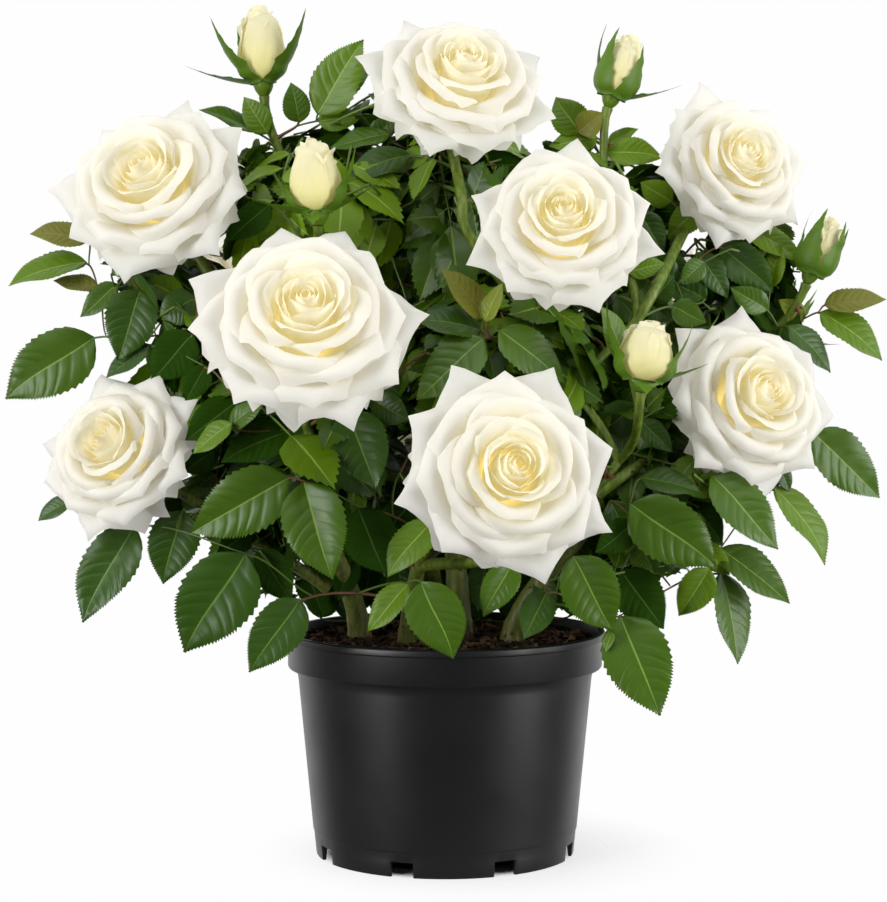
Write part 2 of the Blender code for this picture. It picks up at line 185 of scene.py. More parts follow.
# ---- Pot ---------------------------------------------------------------------------------------------------
# An injection-moulded nursery pot of black polypropylene: a tapered body with a faint step near the foot,
# an upright band under a rolled lip, and a foot ring with eight drain notches round a raised channel.
POT_HEIGHT, WALL = 0.1206, 0.0018
FOOT_RADIUS, SHOULDER_RADIUS, BAND_RADIUS, LIP_RADIUS = 0.0698, 0.0804, 0.0850, 0.0868
LIP_HEIGHT, BAND_FOOT = 0.0040, 0.1012
PAD_RADIUS, CHANNEL_DEPTH, CHANNEL_DRAFT = 0.0500, 0.0085, 0.0008
NOTCHES, NOTCH_FIRST, NOTCH_HEIGHT = 8, 26.4, 0.0080  # the first is at so many degrees from the front
STEP_HEIGHT, STEP_OUT = 0.0132, 0.0004
EASED = 0.0006  # how far a moulded corner is cut back
POT_STEPS, NOTCH_STEPS = 144, 4
HAIR = 1e-5  # a distance too small to count


def new_object(name, mesh, *materials):
    """An object of a mesh, with its finishes."""
    for made in materials:
        mesh.materials.append(made)
    return placed(name, mesh)


def declare(obj, slot, *nodes):
    """Every piece rides on the plant's one body, and the CAD nodes that it stands for are hidden. Its slot is
    not used.
    """
    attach(obj, "root")
    if nodes:
        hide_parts(*nodes)


def spun(profile, steps, first=0.0):
    """A skin turned about Z from a profile of (radius, height), from an angle off the front."""
    bm = bmesh.new()
    verts = [bm.verts.new((radius, 0.0, height)) for radius, height in profile]
    edges = [bm.edges.new(pair) for pair in zip(verts, verts[1:])]
    bmesh.ops.spin(bm, geom=verts + edges, cent=(0, 0, 0), axis=(0, 0, 1), angle=math.tau, steps=steps,
                   use_merge=True)
    bmesh.ops.remove_doubles(bm, verts=bm.verts, dist=1e-6)
    bmesh.ops.rotate(bm, verts=bm.verts, cent=(0, 0, 0), matrix=Matrix.Rotation(first - math.pi / 2, 3, "Z"))
    bmesh.ops.recalc_face_normals(bm, faces=bm.faces)
    return bm


def wall_radius(height):
    """The outside radius of the tapered body at a height."""
    return FOOT_RADIUS + (SHOULDER_RADIUS - FOOT_RADIUS) * height / BAND_FOOT


floor_inside = CHANNEL_DEPTH + WALL
INSIDE = [
    (BAND_RADIUS - WALL, BAND_FOOT + WALL), (SHOULDER_RADIUS - WALL, BAND_FOOT - EASED),
    (wall_radius(floor_inside) - WALL, floor_inside), (PAD_RADIUS + CHANNEL_DRAFT - WALL, floor_inside),
    (PAD_RADIUS - WALL, WALL), (0.0, WALL),
]
pot_shape = spun([
    (0.0, 0.0), (PAD_RADIUS, 0.0), (PAD_RADIUS + CHANNEL_DRAFT, CHANNEL_DEPTH),
    (FOOT_RADIUS - WALL - CHANNEL_DRAFT, CHANNEL_DEPTH), (FOOT_RADIUS - WALL - CHANNEL_DRAFT, NOTCH_HEIGHT),
    (FOOT_RADIUS - WALL, 0.0), (FOOT_RADIUS, 0.0), (wall_radius(NOTCH_HEIGHT), NOTCH_HEIGHT),
    (wall_radius(STEP_HEIGHT), STEP_HEIGHT), (wall_radius(STEP_HEIGHT) + STEP_OUT, STEP_HEIGHT + STEP_OUT),
    (SHOULDER_RADIUS - 0.0010, BAND_FOOT - 0.0060), (SHOULDER_RADIUS, BAND_FOOT - EASED),
    (BAND_RADIUS - EASED, BAND_FOOT), (BAND_RADIUS, BAND_FOOT + 0.0010),
    (BAND_RADIUS, POT_HEIGHT - LIP_HEIGHT), (LIP_RADIUS, POT_HEIGHT - LIP_HEIGHT + 0.0004),
    (LIP_RADIUS, POT_HEIGHT - EASED), (LIP_RADIUS - 0.0008, POT_HEIGHT), (BAND_RADIUS - WALL, POT_HEIGHT),
] + INSIDE, POT_STEPS, math.radians(NOTCH_FIRST) - NOTCH_STEPS / 2 * math.tau / POT_STEPS)

# The foot ring is opened at each notch, and the cut through its wall is closed again
for index in range(NOTCHES):
    middle = math.radians(NOTCH_FIRST) + index * math.tau / NOTCHES

    def turn_off(place):
        """A place's angle round the pot from the notch's middle, in steps of the turned skin."""
        off = math.atan2(place.x, -place.y) - middle
        return ((off + math.pi) % math.tau - math.pi) / (math.tau / POT_STEPS)

    def in_notch(place, slack):
        """Whether a place is on the foot ring within the notch, or as near it as the slack in steps."""
        low_ring = place.xy.length > FOOT_RADIUS - WALL - 0.0012 and place.z < NOTCH_HEIGHT + HAIR
        return low_ring and abs(turn_off(place)) < NOTCH_STEPS / 2 + slack

    def open_edges():
        return [e for e in pot_shape.edges if e.is_boundary and all(in_notch(v.co, 0.1) for v in e.verts)]
    cut = [f for f in pot_shape.faces if in_notch(f.calc_center_median(), 0.0)
           and all(v.co.z < NOTCH_HEIGHT + HAIR for v in f.verts)]
    bmesh.ops.delete(pot_shape, geom=cut, context="FACES")
    ends = [vert for edge in open_edges() for vert in edge.verts]
    for outwards in (-1, 1):
        side = {vert for vert in ends if turn_off(vert.co) * outwards > NOTCH_STEPS / 2 - 0.1}
        bmesh.ops.contextual_create(pot_shape, geom=list(side))
    arcs = [e for e in open_edges() if all(v.co.z > NOTCH_HEIGHT - HAIR for v in e.verts)
            and abs(e.verts[0].co.xy.length - e.verts[1].co.xy.length) < HAIR]
    bmesh.ops.bridge_loops(pot_shape, edges=arcs)
bmesh.ops.recalc_face_normals(pot_shape, faces=pot_shape.faces)

# Matte black moulding: a soft broad sheen from the softboxes, with the fine grain of the mould in it
MOULD_GRAIN, MOULD_CLOUD = 0.0003846, 0.0294  # sizes of its fine grain and of the broad clouds in its sheen
black_plastic, shader, tree = finish_of("matte_black_polypropylene", "101011", 0.40, Specular_IOR_Level=0.55)
spot = add_node(tree, "ShaderNodeTexCoord").outputs["Object"]
grain = add_node(tree, "ShaderNodeTexNoise", {"Vector": spot, "Scale": 1 / MOULD_GRAIN, "Detail": 2.0})
smear = add_node(tree, "ShaderNodeTexNoise", {"Vector": spot, "Scale": 1 / MOULD_CLOUD, "Detail": 3.0})
rough = add_node(tree, "ShaderNodeMapRange", {"Value": smear.outputs["Fac"], "From Min": 0.3, "From Max": 0.7,
                 "To Min": 0.34, "To Max": 0.42})
sockets = {"Height": grain.outputs["Fac"], "Strength": 0.12, "Distance": 0.0002}
bump = add_node(tree, "ShaderNodeBump", sockets)
tree.links.new(rough.outputs["Result"], shader.inputs["Roughness"])
tree.links.new(bump.outputs["Normal"], shader.inputs["Normal"])
pot = new_object("moulded_pot", mesh_from(pot_shape, "moulded_pot"), black_plastic)
edge = pot.modifiers.new("worn_edges", "BEVEL")
edge.width, edge.segments, edge.limit_method, edge.angle_limit = 0.0004, 2, "ANGLE", math.radians(35)
declare(pot, "pot_plastic", "pot")

# ---- Potting soil ------------------------------------------------------------------------------------------
# Damp potting compost, a few millimetres under the rim, that fills the pot. Its top is uneven and crumbly,
# and chips of dark bark and small crumbs of peat lie all over it.
SOIL_TOP, SOIL_GAP = 0.1128, 0.0003  # its height, and its gap to the pot's wall
SOIL_RINGS, SOIL_SIDES = 46, 112
LUMPS = ((38, 0.0016, 3.1), (190, 0.0009, 7.7), (520, 0.0004, 1.3))  # count in a metre, height, layer of noise
HEAP, HEAP_FALL, HEAP_EDGE, DIP = 0.0042, 0.0014, 0.0012, 0.0010  # it stands highest in the middle
PEAT_LUMP = 0.00238
CHIPS, CRUMBS = 760, 1500
CHIP_SIZES = ((0.0025, 0.0105), (0.0014, 0.0040), (0.0007, 0.0018))  # length, width and thickness
draw = random.Random(11)


def relief(x, y):
    """Height of the compost's top above its level, in metres."""
    uneven = sum(height * noise.noise(Vector((x * many, y * many, layer))) for many, height, layer in LUMPS)
    return uneven - DIP + (HEAP - HEAP_FALL * (x * x + y * y) / BAND_RADIUS ** 2)


rim = BAND_RADIUS - WALL - SOIL_GAP
inside = [(max(radius - SOIL_GAP, 0.0), height + SOIL_GAP) for radius, height in INSIDE]
soil_shape = spun([(rim * i / SOIL_RINGS, SOIL_TOP) for i in range(SOIL_RINGS + 1)] + inside, SOIL_SIDES)
for vert in soil_shape.verts:
    if vert.co.z > SOIL_TOP - 0.0001:
        vert.co.z += relief(vert.co.x, vert.co.y) - HEAP_EDGE * (vert.co.xy.length / rim) ** 6
# Damp peat with no shine: dark brown on the crumbs, and almost black in the hollows, which is painted shade,
# as its colour follows the bump's height
peat, shader, tree = finish_of("damp_peat", "2b2018", 0.92, Specular_IOR_Level=0.25)
spot = add_node(tree, "ShaderNodeTexCoord").outputs["Object"]
lumps = add_node(tree, "ShaderNodeTexNoise", {"Vector": spot, "Scale": 1 / PEAT_LUMP, "Detail": 4.0})
brown = add_node(tree, "ShaderNodeValToRGB", {"Fac": lumps.outputs["Fac"]},
                 stops=[(0.34, "1a130e"), (0.60, "3d2c1f"), (0.74, "5a4431")])
sockets = {"Height": lumps.outputs["Fac"], "Strength": 0.8, "Distance": 0.0012}
bump = add_node(tree, "ShaderNodeBump", sockets)
tree.links.new(brown.outputs["Color"], shader.inputs["Base Color"])
tree.links.new(bump.outputs["Normal"], shader.inputs["Normal"])
declare(new_object("compost", mesh_from(soil_shape, "compost"), peat), "soil", "soil")


def kept(bm, slots=None):
    """A finished shape as arrays, to be laid many times: its corners, and each face's corners and slot."""
    bm.verts.index_update()
    bm.faces.index_update()
    shape = SimpleNamespace(
        corners=np.array([vert.co[:] for vert in bm.verts]),
        loops=np.array([vert.index for face in bm.faces for vert in face.verts]),
        counts=np.array([len(face.verts) for face in bm.faces]),
        slots=np.array(slots or [0] * len(bm.faces)),
    )
    bm.free()
    return shape


def joined(name, batches, *materials):
    """One object from batches of (shape, corners of each copy, slot added to each copy's faces)."""
    corners, loops, counts, slots, first = [], [], [], [], 0
    for shape, places, tints in batches:
        places = np.asarray(places).reshape(-1, len(shape.corners), 3)
        copies = len(places)
        offsets = first + np.arange(copies)[:, None] * len(shape.corners)
        corners.append(places.reshape(-1, 3))
        loops.append((shape.loops[None, :] + offsets).ravel())
        counts.append(np.tile(shape.counts, copies))
        tints = np.asarray(tints).reshape(-1, 1) + np.zeros((copies, 1), int)
        slots.append((shape.slots[None, :] + tints).ravel())
        first += places.shape[0] * places.shape[1]
    corners, loops, counts, slots = (np.concatenate(rows) for rows in (corners, loops, counts, slots))
    mesh = bpy.data.meshes.new(name)
    mesh.vertices.add(len(corners))
    mesh.vertices.foreach_set("co", corners.astype(np.float32).ravel())
    mesh.loops.add(len(loops))
    mesh.loops.foreach_set("vertex_index", loops.astype(np.int32))
    mesh.polygons.add(len(counts))
    mesh.polygons.foreach_set("loop_start", np.concatenate([[0], np.cumsum(counts)[:-1]]).astype(np.int32))
    mesh.polygons.foreach_set("material_index", slots.astype(np.int32))
    mesh.polygons.foreach_set("use_smooth", np.ones(len(counts), bool))
    mesh.update(calc_edges=True)
    return new_object(name, mesh, *materials)


# Chips of shredded bark lie flat or lean on each other, split along the grain into tapered slivers
bm = bmesh.new()
bmesh.ops.create_cube(bm, size=1.0)
long_edges = [e for e in bm.edges if abs(e.verts[0].co.x - e.verts[1].co.x) > 0.5]
bmesh.ops.subdivide_edges(bm, edges=long_edges, cuts=2)
chip = kept(bm)
chips, chip_tints = [], []
for _ in range(CHIPS):
    angle, far = draw.uniform(0, math.tau), (rim - 0.003) * math.sqrt(draw.random())
    x, y = far * math.cos(angle), far * math.sin(angle)
    length, width, thick = (draw.uniform(*ends) for ends in CHIP_SIZES)
    length = min(length, (rim - far) * 1.7)
    jag = np.array([[draw.uniform(0.45, 1.15) for _ in range(3)] for _ in chip.corners])
    shape = chip.corners * jag * (length, width, thick)
    shape[:, 2] += 0.12 * length * (chip.corners[:, 0] ** 2)
    turn = Matrix.Rotation(draw.uniform(0, math.tau), 3, "Z")
    turn = turn @ Matrix.Rotation(draw.gauss(0, 0.30), 3, "Y") @ Matrix.Rotation(draw.gauss(0, 0.55), 3, "X")
    lift = SOIL_TOP + relief(x, y) + draw.uniform(-0.0002, 0.0011)
    chips.append(shape @ np.array(turn).T + (x, y, lift))
    chip_tints.append(draw.choice((0, 0, 1, 1, 2)))
# Old bark: dark brown and matte, a little paler and redder where it is freshly split
barks = [finish_of(f"bark_chip_{name}", colour, 0.85, Specular_IOR_Level=0.3)[0]
         for name, colour in (("dark", "33251b"), ("brown", "503a29"), ("split", "735841"))]
bark_chips = joined("bark_chips", [(chip, chips, chip_tints)], *barks)
for polygon in bark_chips.data.polygons:
    polygon.use_smooth = False
declare(bark_chips, "soil")

bm = bmesh.new()
bmesh.ops.create_icosphere(bm, subdivisions=1, radius=1.0)
crumb = kept(bm)
crumbs, crumb_tints = [], []
for _ in range(CRUMBS):
    angle, far = draw.uniform(0, math.tau), (rim - 0.0016) * math.sqrt(draw.random())
    x, y, size = far * math.cos(angle), far * math.sin(angle), draw.uniform(0.0005, 0.0015)
    jag = np.array([[draw.uniform(0.7, 1.3) for _ in range(3)] for _ in crumb.corners])
    lift = SOIL_TOP + relief(x, y) + size * 0.3
    crumbs.append(crumb.corners * jag * (size, size, size * 0.8) + (x, y, lift))
    crumb_tints.append(draw.choice((0, 0, 1)))
# Crumbs of peat, nearly black, and a few of brown fibre
peats = [finish_of(f"peat_crumb_{name}", colour, 0.95, Specular_IOR_Level=0.2)[0]
         for name, colour in (("black", "1b130e"), ("brown", "3a2a1d"))]
declare(joined("peat_crumbs", [(crumb, crumbs, crumb_tints)], *peats), "soil")

# ---- Canes, side shoot and flower stems --------------------------------------------------------------------
# Woody green canes stand in the soil, brown and rough at the foot and smooth and green higher up. A thin
# stem carries each bloom and bud. All have leaf scars every few centimetres and a few hooked prickles.
CANES = {  # each cane: X and Y of its foot, its tip, and its radius at both
    "cane_left": ((-0.046, 0.004), (-0.070, -0.030, 0.190), 0.0060, 0.0042),
    "cane_front": ((-0.020, -0.022), (-0.012, -0.060, 0.172), 0.0050, 0.0036),
    "cane_middle": ((0.008, 0.010), (0.004, 0.004, 0.182), 0.0066, 0.0050),
    "cane_right": ((0.036, -0.008), (0.076, -0.030, 0.182), 0.0058, 0.0042),
    "cane_back": ((-0.004, 0.036), (-0.014, 0.074, 0.178), 0.0056, 0.0042),
}
CANE_FLARE = 1.35  # a cane's foot is so many times as thick
SHOOT_START, SHOOT_RADII = (-0.0635, -0.0020, 0.1440), (0.0032, 0.0026)
# Each open rose: middle of its rim, turn of its face from the front towards +X, its rise above level, radius
ROSES = {
    "rose_top_left": ((-0.150, -0.060, 0.356), -16, 30, 0.056),
    "rose_top": ((0.008, -0.040, 0.410), 14, 40, 0.054),
    "rose_top_right": ((0.152, -0.030, 0.369), 23, 22, 0.047),
    "rose_upper_right": ((0.058, -0.105, 0.334), 0, 27, 0.050),
    "rose_left": ((-0.068, -0.130, 0.286), 6, 33, 0.061),
    "rose_low_left": ((-0.167, -0.070, 0.221), -28, 24, 0.048),
    "rose_right": ((0.156, -0.070, 0.247), 26, 18, 0.052),
    "rose_front": ((0.030, -0.150, 0.214), 12, 16, 0.057),
    "rose_back_left": ((-0.122, 0.128, 0.304), 142, 32, 0.052),
    "rose_back": ((-0.006, 0.160, 0.232), 184, 20, 0.056),
    "rose_back_right": ((0.128, 0.126, 0.296), 222, 30, 0.050),
    "rose_back_top": ((0.012, 0.118, 0.362), 176, 48, 0.047),
}
ROSE_FOOT = -0.42  # height of a rose's foot under the middle of its rim, as a share of its radius
# Each bud: foot of its hip, tip of its petals, radius at its belly
BUDS = {
    "bud_top_left": ((-0.097, 0.000, 0.408), (-0.100, 0.000, 0.458), 0.0134),
    "bud_left": ((-0.064, -0.080, 0.335), (-0.067, -0.080, 0.380), 0.0151),
    "bud_top_right": ((0.086, -0.020, 0.400), (0.099, -0.020, 0.439), 0.0120),
    "bud_right": ((0.190, -0.030, 0.307), (0.204, -0.030, 0.343), 0.0110),
    "bud_front_right": ((0.096, -0.115, 0.252), (0.101, -0.115, 0.288), 0.0148),
    "bud_back_left": ((-0.066, 0.098, 0.352), (-0.070, 0.108, 0.392), 0.0120),
    "bud_back_right": ((0.182, 0.062, 0.276), (0.196, 0.070, 0.310), 0.0115),
}
# Each flower stem: its flower and where its lower end enters the foliage
STEMS = {
    "stem_top_left": ("rose_top_left", (-0.116, -0.030, 0.300)),
    "stem_top": ("rose_top", (0.009, -0.058, 0.338)),
    "stem_top_right": ("rose_top_right", (0.099, -0.060, 0.288)),
    "stem_upper_right": ("rose_upper_right", (0.046, -0.062, 0.284)),
    "stem_left": ("rose_left", (-0.066, -0.076, 0.226)),
    "stem_right": ("rose_right", (0.078, -0.078, 0.199)),
    "stem_front": ("rose_front", (0.018, -0.084, 0.166)),
    "stem_back_left": ("rose_back_left", (-0.094, 0.086, 0.262)),
    "stem_back": ("rose_back", (-0.004, 0.120, 0.186)),
    "stem_back_right": ("rose_back_right", (0.100, 0.088, 0.256)),
    "stem_bud_top_left": ("bud_top_left", (-0.084, 0.000, 0.366)),
    "stem_bud_left": ("bud_left", (-0.070, -0.036, 0.314)),
    "stem_bud_top_right": ("bud_top_right", (0.082, -0.018, 0.364)),
    "stem_bud_right": ("bud_right", (0.176, -0.022, 0.284)),
    "stem_bud_front_right": ("bud_front_right", (0.088, -0.076, 0.216)),
    "stem_bud_back_left": ("bud_back_left", (-0.062, 0.082, 0.310)),
    "stem_bud_back_right": ("bud_back_right", (0.150, 0.060, 0.250)),
}
ROSE_STEM_RADIUS, BUD_STEM_RADIUS, HIP_RADIUS = 0.0028, 0.0023, 0.0042


def facing(turn, rise):
    """The unit vector at a turn from the front towards +X and a rise above level, both in degrees."""
    turn, rise = math.radians(turn), math.radians(rise)
    return Vector((math.sin(turn) * math.cos(rise), -math.cos(turn) * math.cos(rise), math.sin(rise)))


def flower_foot(flower):
    """Where a flower's underside is, which way it faces, and the radius of the stem under it."""
    if flower in ROSES:
        centre, turn, rise, radius = ROSES[flower]
        axis = facing(turn, rise)
        return Vector(centre) + axis * ROSE_FOOT * radius, axis, ROSE_STEM_RADIUS
    foot, tip, _ = BUDS[flower]
    return Vector(foot), (Vector(tip) - Vector(foot)).normalized(), BUD_STEM_RADIUS


def bow(start, start_heading, end, end_heading, rings):
    """A smooth route that leaves the start and reaches the end along the two headings."""
    pull = (end - start).length / 3
    return interpolate_bezier(start, start_heading * pull + start, end - end_heading * pull, end, rings)


def cone(sides, tip_radius, rings):
    """An open cone of radius 1 at height 0 that narrows to its tip at height 1, with this many rings."""
    bm = bmesh.new()
    bmesh.ops.create_cone(bm, cap_ends=False, segments=sides, radius1=1.0, radius2=tip_radius, depth=1.0,
                          matrix=Matrix.Translation((0, 0, 0.5)))
    upright = [e for e in bm.edges if abs(e.verts[0].co.z - e.verts[1].co.z) > 0.5]
    if rings > 2:
        bmesh.ops.subdivide_edges(bm, edges=upright, cuts=rings - 2)
    return bm


def sleeve(sides, rings):
    """A straight open tube of radius 1 from height 0 to 1, to be bent along a limb's route."""
    shape = kept(cone(sides, 1.0, rings))
    shape.station = np.rint(shape.corners[:, 2] * (rings - 1)).astype(int)
    shape.rings = rings
    return shape


def bent(shape, route, radii, relief_at=None):
    """A sleeve's corners laid along a route, with a radius at each ring and the bark's relief."""
    points = np.array([tuple(point) for point in route])
    ahead = np.gradient(points, axis=0)
    ahead /= np.linalg.norm(ahead, axis=1)[:, None]
    across = np.cross(ahead[0], (0.0, 1.0, 0.0) if abs(ahead[0][1]) < 0.8 else (1.0, 0.0, 0.0))
    sides = []
    for heading in ahead:
        across = across - heading * across.dot(heading)
        across = across / np.linalg.norm(across)
        sides.append(across)
    sides = np.array(sides)
    upward = np.cross(ahead, sides)
    at = shape.station
    reach = np.asarray(radii)[at]
    if relief_at is not None:
        angle = np.arctan2(shape.corners[:, 1], shape.corners[:, 0])
        reach = reach * relief_at(angle, shape.corners[:, 2])
    x, y = shape.corners[:, 0] * reach, shape.corners[:, 1] * reach
    return points[at] + sides[at] * x[:, None] + upward[at] * y[:, None]


def bark_relief(seed, ridge, scars):
    """Shallow ridges along the grain, with a swelling at each leaf scar, as a share of the radius."""
    def at(angle, along):
        ridges = [noise.noise(Vector((math.cos(a) * 1.6 + seed, math.sin(a) * 1.6, s * 5.0))) +
                  0.5 * noise.noise(Vector((math.cos(a) * 4.0, math.sin(a) * 4.0 + seed, s * 16.0)))
                  for a, s in zip(angle, along)]
        swell = np.exp(-(((along * scars) % 1.0 - 0.5) / 0.06) ** 2)
        return 1.0 + ridge * np.array(ridges) + 0.10 * swell * (1.0 if scars else 0.0)
    return at


# Rose bark: a dull green skin with a brown blush and faint pale streaks along it, corky brown at the foot
CANE_STREAK, CANE_MOTTLE = (0.001923, 0.001923, 0.01667), 0.01429  # sizes of a streak and of a blotch
cane_skin, shader, tree = finish_of("green_cane_bark", "525a1e", 0.52)
spot = add_node(tree, "ShaderNodeTexCoord").outputs["Object"]
height = add_node(tree, "ShaderNodeSeparateXYZ", {"Vector": spot}).outputs["Z"]
streaked = add_node(tree, "ShaderNodeVectorMath", {0: spot, 1: CANE_STREAK}, operation="DIVIDE")
sockets = {"Vector": streaked.outputs["Vector"], "Scale": 1.0, "Detail": 3.0}
streaks = add_node(tree, "ShaderNodeTexNoise", sockets)
mottle = add_node(tree, "ShaderNodeTexNoise", {"Vector": spot, "Scale": 1 / CANE_MOTTLE, "Detail": 3.0})
shade = add_node(tree, "ShaderNodeMath", {0: streaks.outputs[0], 1: mottle.outputs[0]}, operation="ADD")
half = add_node(tree, "ShaderNodeMath", {0: shade.outputs[0], 1: 0.5}, operation="MULTIPLY")
green, cork = (
    add_node(tree, "ShaderNodeValToRGB", {"Fac": half.outputs[0]}, stops=zip((0.36, 0.52, 0.66), colours))
    for colours in (("4a5a18", "6c7c2a", "98a04c"), ("3a2c1a", "5a4a2c", "7d6a46")))
low = add_node(tree, "ShaderNodeMapRange", {"Value": height, "From Min": 0.118, "From Max": 0.175,
               "To Min": 0.34, "To Max": 0.04}, interpolation_type="SMOOTHSTEP")
skin = add_node(tree, "ShaderNodeMix", {0: low.outputs["Result"], 6: green.outputs["Color"],
                7: cork.outputs["Color"]}, data_type="RGBA")
sockets = {"Height": streaks.outputs["Fac"], "Strength": 0.5, "Distance": 0.0004}
bump = add_node(tree, "ShaderNodeBump", sockets)
tree.links.new(skin.outputs[2], shader.inputs["Base Color"])
tree.links.new(bump.outputs["Normal"], shader.inputs["Normal"])
# Young stem: smooth fresh green with a soft waxy sheen and a light mottle
STEM_STREAK = (0.00238, 0.00238, 0.0125)
stem_skin, shader, tree = finish_of("green_stem_skin", "62791e", 0.42)
spot = add_node(tree, "ShaderNodeTexCoord").outputs["Object"]
streaked = add_node(tree, "ShaderNodeVectorMath", {0: spot, 1: STEM_STREAK}, operation="DIVIDE")
sockets = {"Vector": streaked.outputs["Vector"], "Scale": 1.0, "Detail": 2.0}
streaks = add_node(tree, "ShaderNodeTexNoise", sockets)
green = add_node(tree, "ShaderNodeValToRGB", {"Fac": streaks.outputs["Fac"]},
                 stops=[(0.32, "4d6418"), (0.52, "64791e"), (0.72, "7f9238")])
tree.links.new(green.outputs["Color"], shader.inputs["Base Color"])

cane_sleeve, stem_sleeve = sleeve(16, 34), sleeve(12, 22)
limbs = {}  # every limb's route, for what grows from it later
prickle_spots = []


def add_limb(name, route, radii, shape, skin, slot, seed, ridge, scars, prickles):
    """One cane or stem along its route, with its bark's ridges and leaf scars and so many prickles."""
    limbs[name] = (np.array([tuple(p) for p in route]), np.asarray(radii))
    corners = bent(shape, route, radii, bark_relief(seed, ridge, scars))
    declare(joined(f"{name}_bark" if slot == "cane_bark" else f"{name}_skin", [(shape, corners, 0)], skin),
            slot, name)
    dice = random.Random(seed)
    for _ in range(prickles):
        at = dice.randrange(3, len(radii) - 4)
        along = (Vector(route[at + 1]) - Vector(route[at - 1])).normalized()
        turn, size = dice.uniform(0, math.tau), dice.uniform(0.75, 1.25)
        prickle_spots.append((Vector(route[at]), along, radii[at], turn, size))


for index, (name, (foot, tip, foot_radius, tip_radius)) in enumerate(CANES.items()):
    start, tip = Vector((*foot, SOIL_TOP - 0.0016)), Vector(tip)
    route = bow(start, Vector((0, 0, 1)), tip, (tip - start).normalized(), cane_sleeve.rings)
    share = np.linspace(0, 1, cane_sleeve.rings)
    radii = foot_radius + (tip_radius - foot_radius) * share
    radii = radii * (1 + (CANE_FLARE - 1) * np.exp(-share / 0.10))
    add_limb(name, route, radii, cane_sleeve, cane_skin, "cane_bark", 20 + index, 0.07, 3, 9)

foot, axis, _ = flower_foot("rose_low_left")
start = Vector(SHOOT_START)
route = bow(start, (foot - start).normalized(), foot - axis * 0.0003, axis, cane_sleeve.rings)
share = np.linspace(0, 1, cane_sleeve.rings)
radii = SHOOT_RADII[0] + (SHOOT_RADII[1] - SHOOT_RADII[0]) * share
radii = radii * (1 + 0.35 * np.exp(-share / 0.04))
radii = radii + (HIP_RADIUS - SHOOT_RADII[1]) * np.exp(-(1 - share) / 0.05)
add_limb("side_shoot_left", route, radii, cane_sleeve, cane_skin, "cane_bark", 31, 0.05, 4, 8)

for index, (name, (flower, entry)) in enumerate(STEMS.items()):
    foot, axis, radius = flower_foot(flower)
    entry = Vector(entry)
    inwards = (Vector((0, 0, POT_HEIGHT)) - entry).normalized()
    route = bow(entry, -inwards, foot - axis * 0.0002, axis, stem_sleeve.rings)
    share = np.linspace(0, 1, stem_sleeve.rings)
    length = sum((b - a).length for a, b in zip(route, route[1:]))
    hip = (0.7 * HIP_RADIUS - radius) * np.exp(-((1 - share) * length / 0.0030) ** 2)
    add_limb(name, route, radius + hip, stem_sleeve, stem_skin, "stem_green", 40 + index, 0.03, 2,
             5 if flower in ROSES else 2)

# Hooked prickles, broad along the stem and thin across it, that point a little down
prickle = kept(cone(6, 0.04, 4))
PRICKLE = np.array((0.0017, 0.0009, 0.0042))  # half its length along the stem, half its width, its height
prickles = []
for place, along, radius, turn, size in prickle_spots:
    out = (Matrix.Rotation(turn, 3, along) @ along.orthogonal()).normalized()
    x, y, z = prickle.corners.T
    thin = (1 - z) ** 0.7 + 0.05
    shape = np.stack([x * thin, y * thin, z], 1) * PRICKLE * size
    shape[:, 0] -= 0.0016 * size * z ** 2
    shape[:, 2] += radius * 0.82
    axes = np.array([along[:], along.cross(out)[:], out[:]])
    prickles.append(shape @ axes + np.array(place))
# Prickle: hard and smooth, reddish brown
prickle_skin = finish_of("reddish_prickle", "6b3a1c", 0.45)[0]
declare(joined("prickles", [(prickle, prickles, 0)], prickle_skin), "stem_green")

# ---- Open roses --------------------------------------------------------------------------------------------
# Large double roses of white petals, cream to yellow in the heart. Nearly forty petals stand in a spiral:
# a tight furled heart, cupped petals with rolled rims round it, and broad outer ones that roll to a point.
PETALS = 38
ROSE_BASE = 0.11  # radius of the ring that the petals grow from, as a share of the rose's
GOLDEN = math.radians(137.5)
# One row per stage from the heart to the outermost petal: stage; the rim's reach and height; the tilt from
# the flower's axis at the petal's base and at its rim, in degrees; half-width; roll of the side margins; how
# far the side of the top edge is cut back, and how pointed that makes it; how far one margin tucks inside;
# roll of the rim itself. Lengths are shares of the flower's radius.
STAGES = np.array([
    (0.00, 0.026, 0.420, 16, -14, 0.13, 0.00, 0.12, 2.0, 0.024, 0.000),
    (0.12, 0.085, 0.430, 21, -10, 0.22, 0.00, 0.12, 2.0, 0.034, 0.004),
    (0.24, 0.185, 0.436, 29, -2, 0.35, 0.01, 0.13, 2.0, 0.046, 0.010),
    (0.35, 0.295, 0.432, 38, 22, 0.50, 0.04, 0.13, 1.9, 0.070, 0.030),
    (0.45, 0.400, 0.410, 44, 52, 0.60, 0.10, 0.14, 1.7, 0.074, 0.062),
    (0.55, 0.510, 0.355, 49, 84, 0.68, 0.17, 0.17, 1.5, 0.066, 0.080),
    (0.66, 0.650, 0.262, 53, 102, 0.72, 0.24, 0.24, 1.2, 0.046, 0.080),
    (0.77, 0.800, 0.145, 56, 106, 0.73, 0.30, 0.31, 0.90, 0.028, 0.068),
    (0.88, 0.960, 0.030, 60, 108, 0.65, 0.34, 0.37, 0.78, 0.015, 0.056),
    (1.00, 1.075, -0.060, 64, 108, 0.58, 0.36, 0.40, 0.74, 0.010, 0.045),
])
PETAL_OUTLINE = (  # place along a petal, and its width there as a share of the widest
    (0.0, 0.15, 0.35, 0.55, 0.72, 0.86, 1.0),
    (0.26, 0.42, 0.72, 0.95, 1.0, 0.93, 0.74),
)
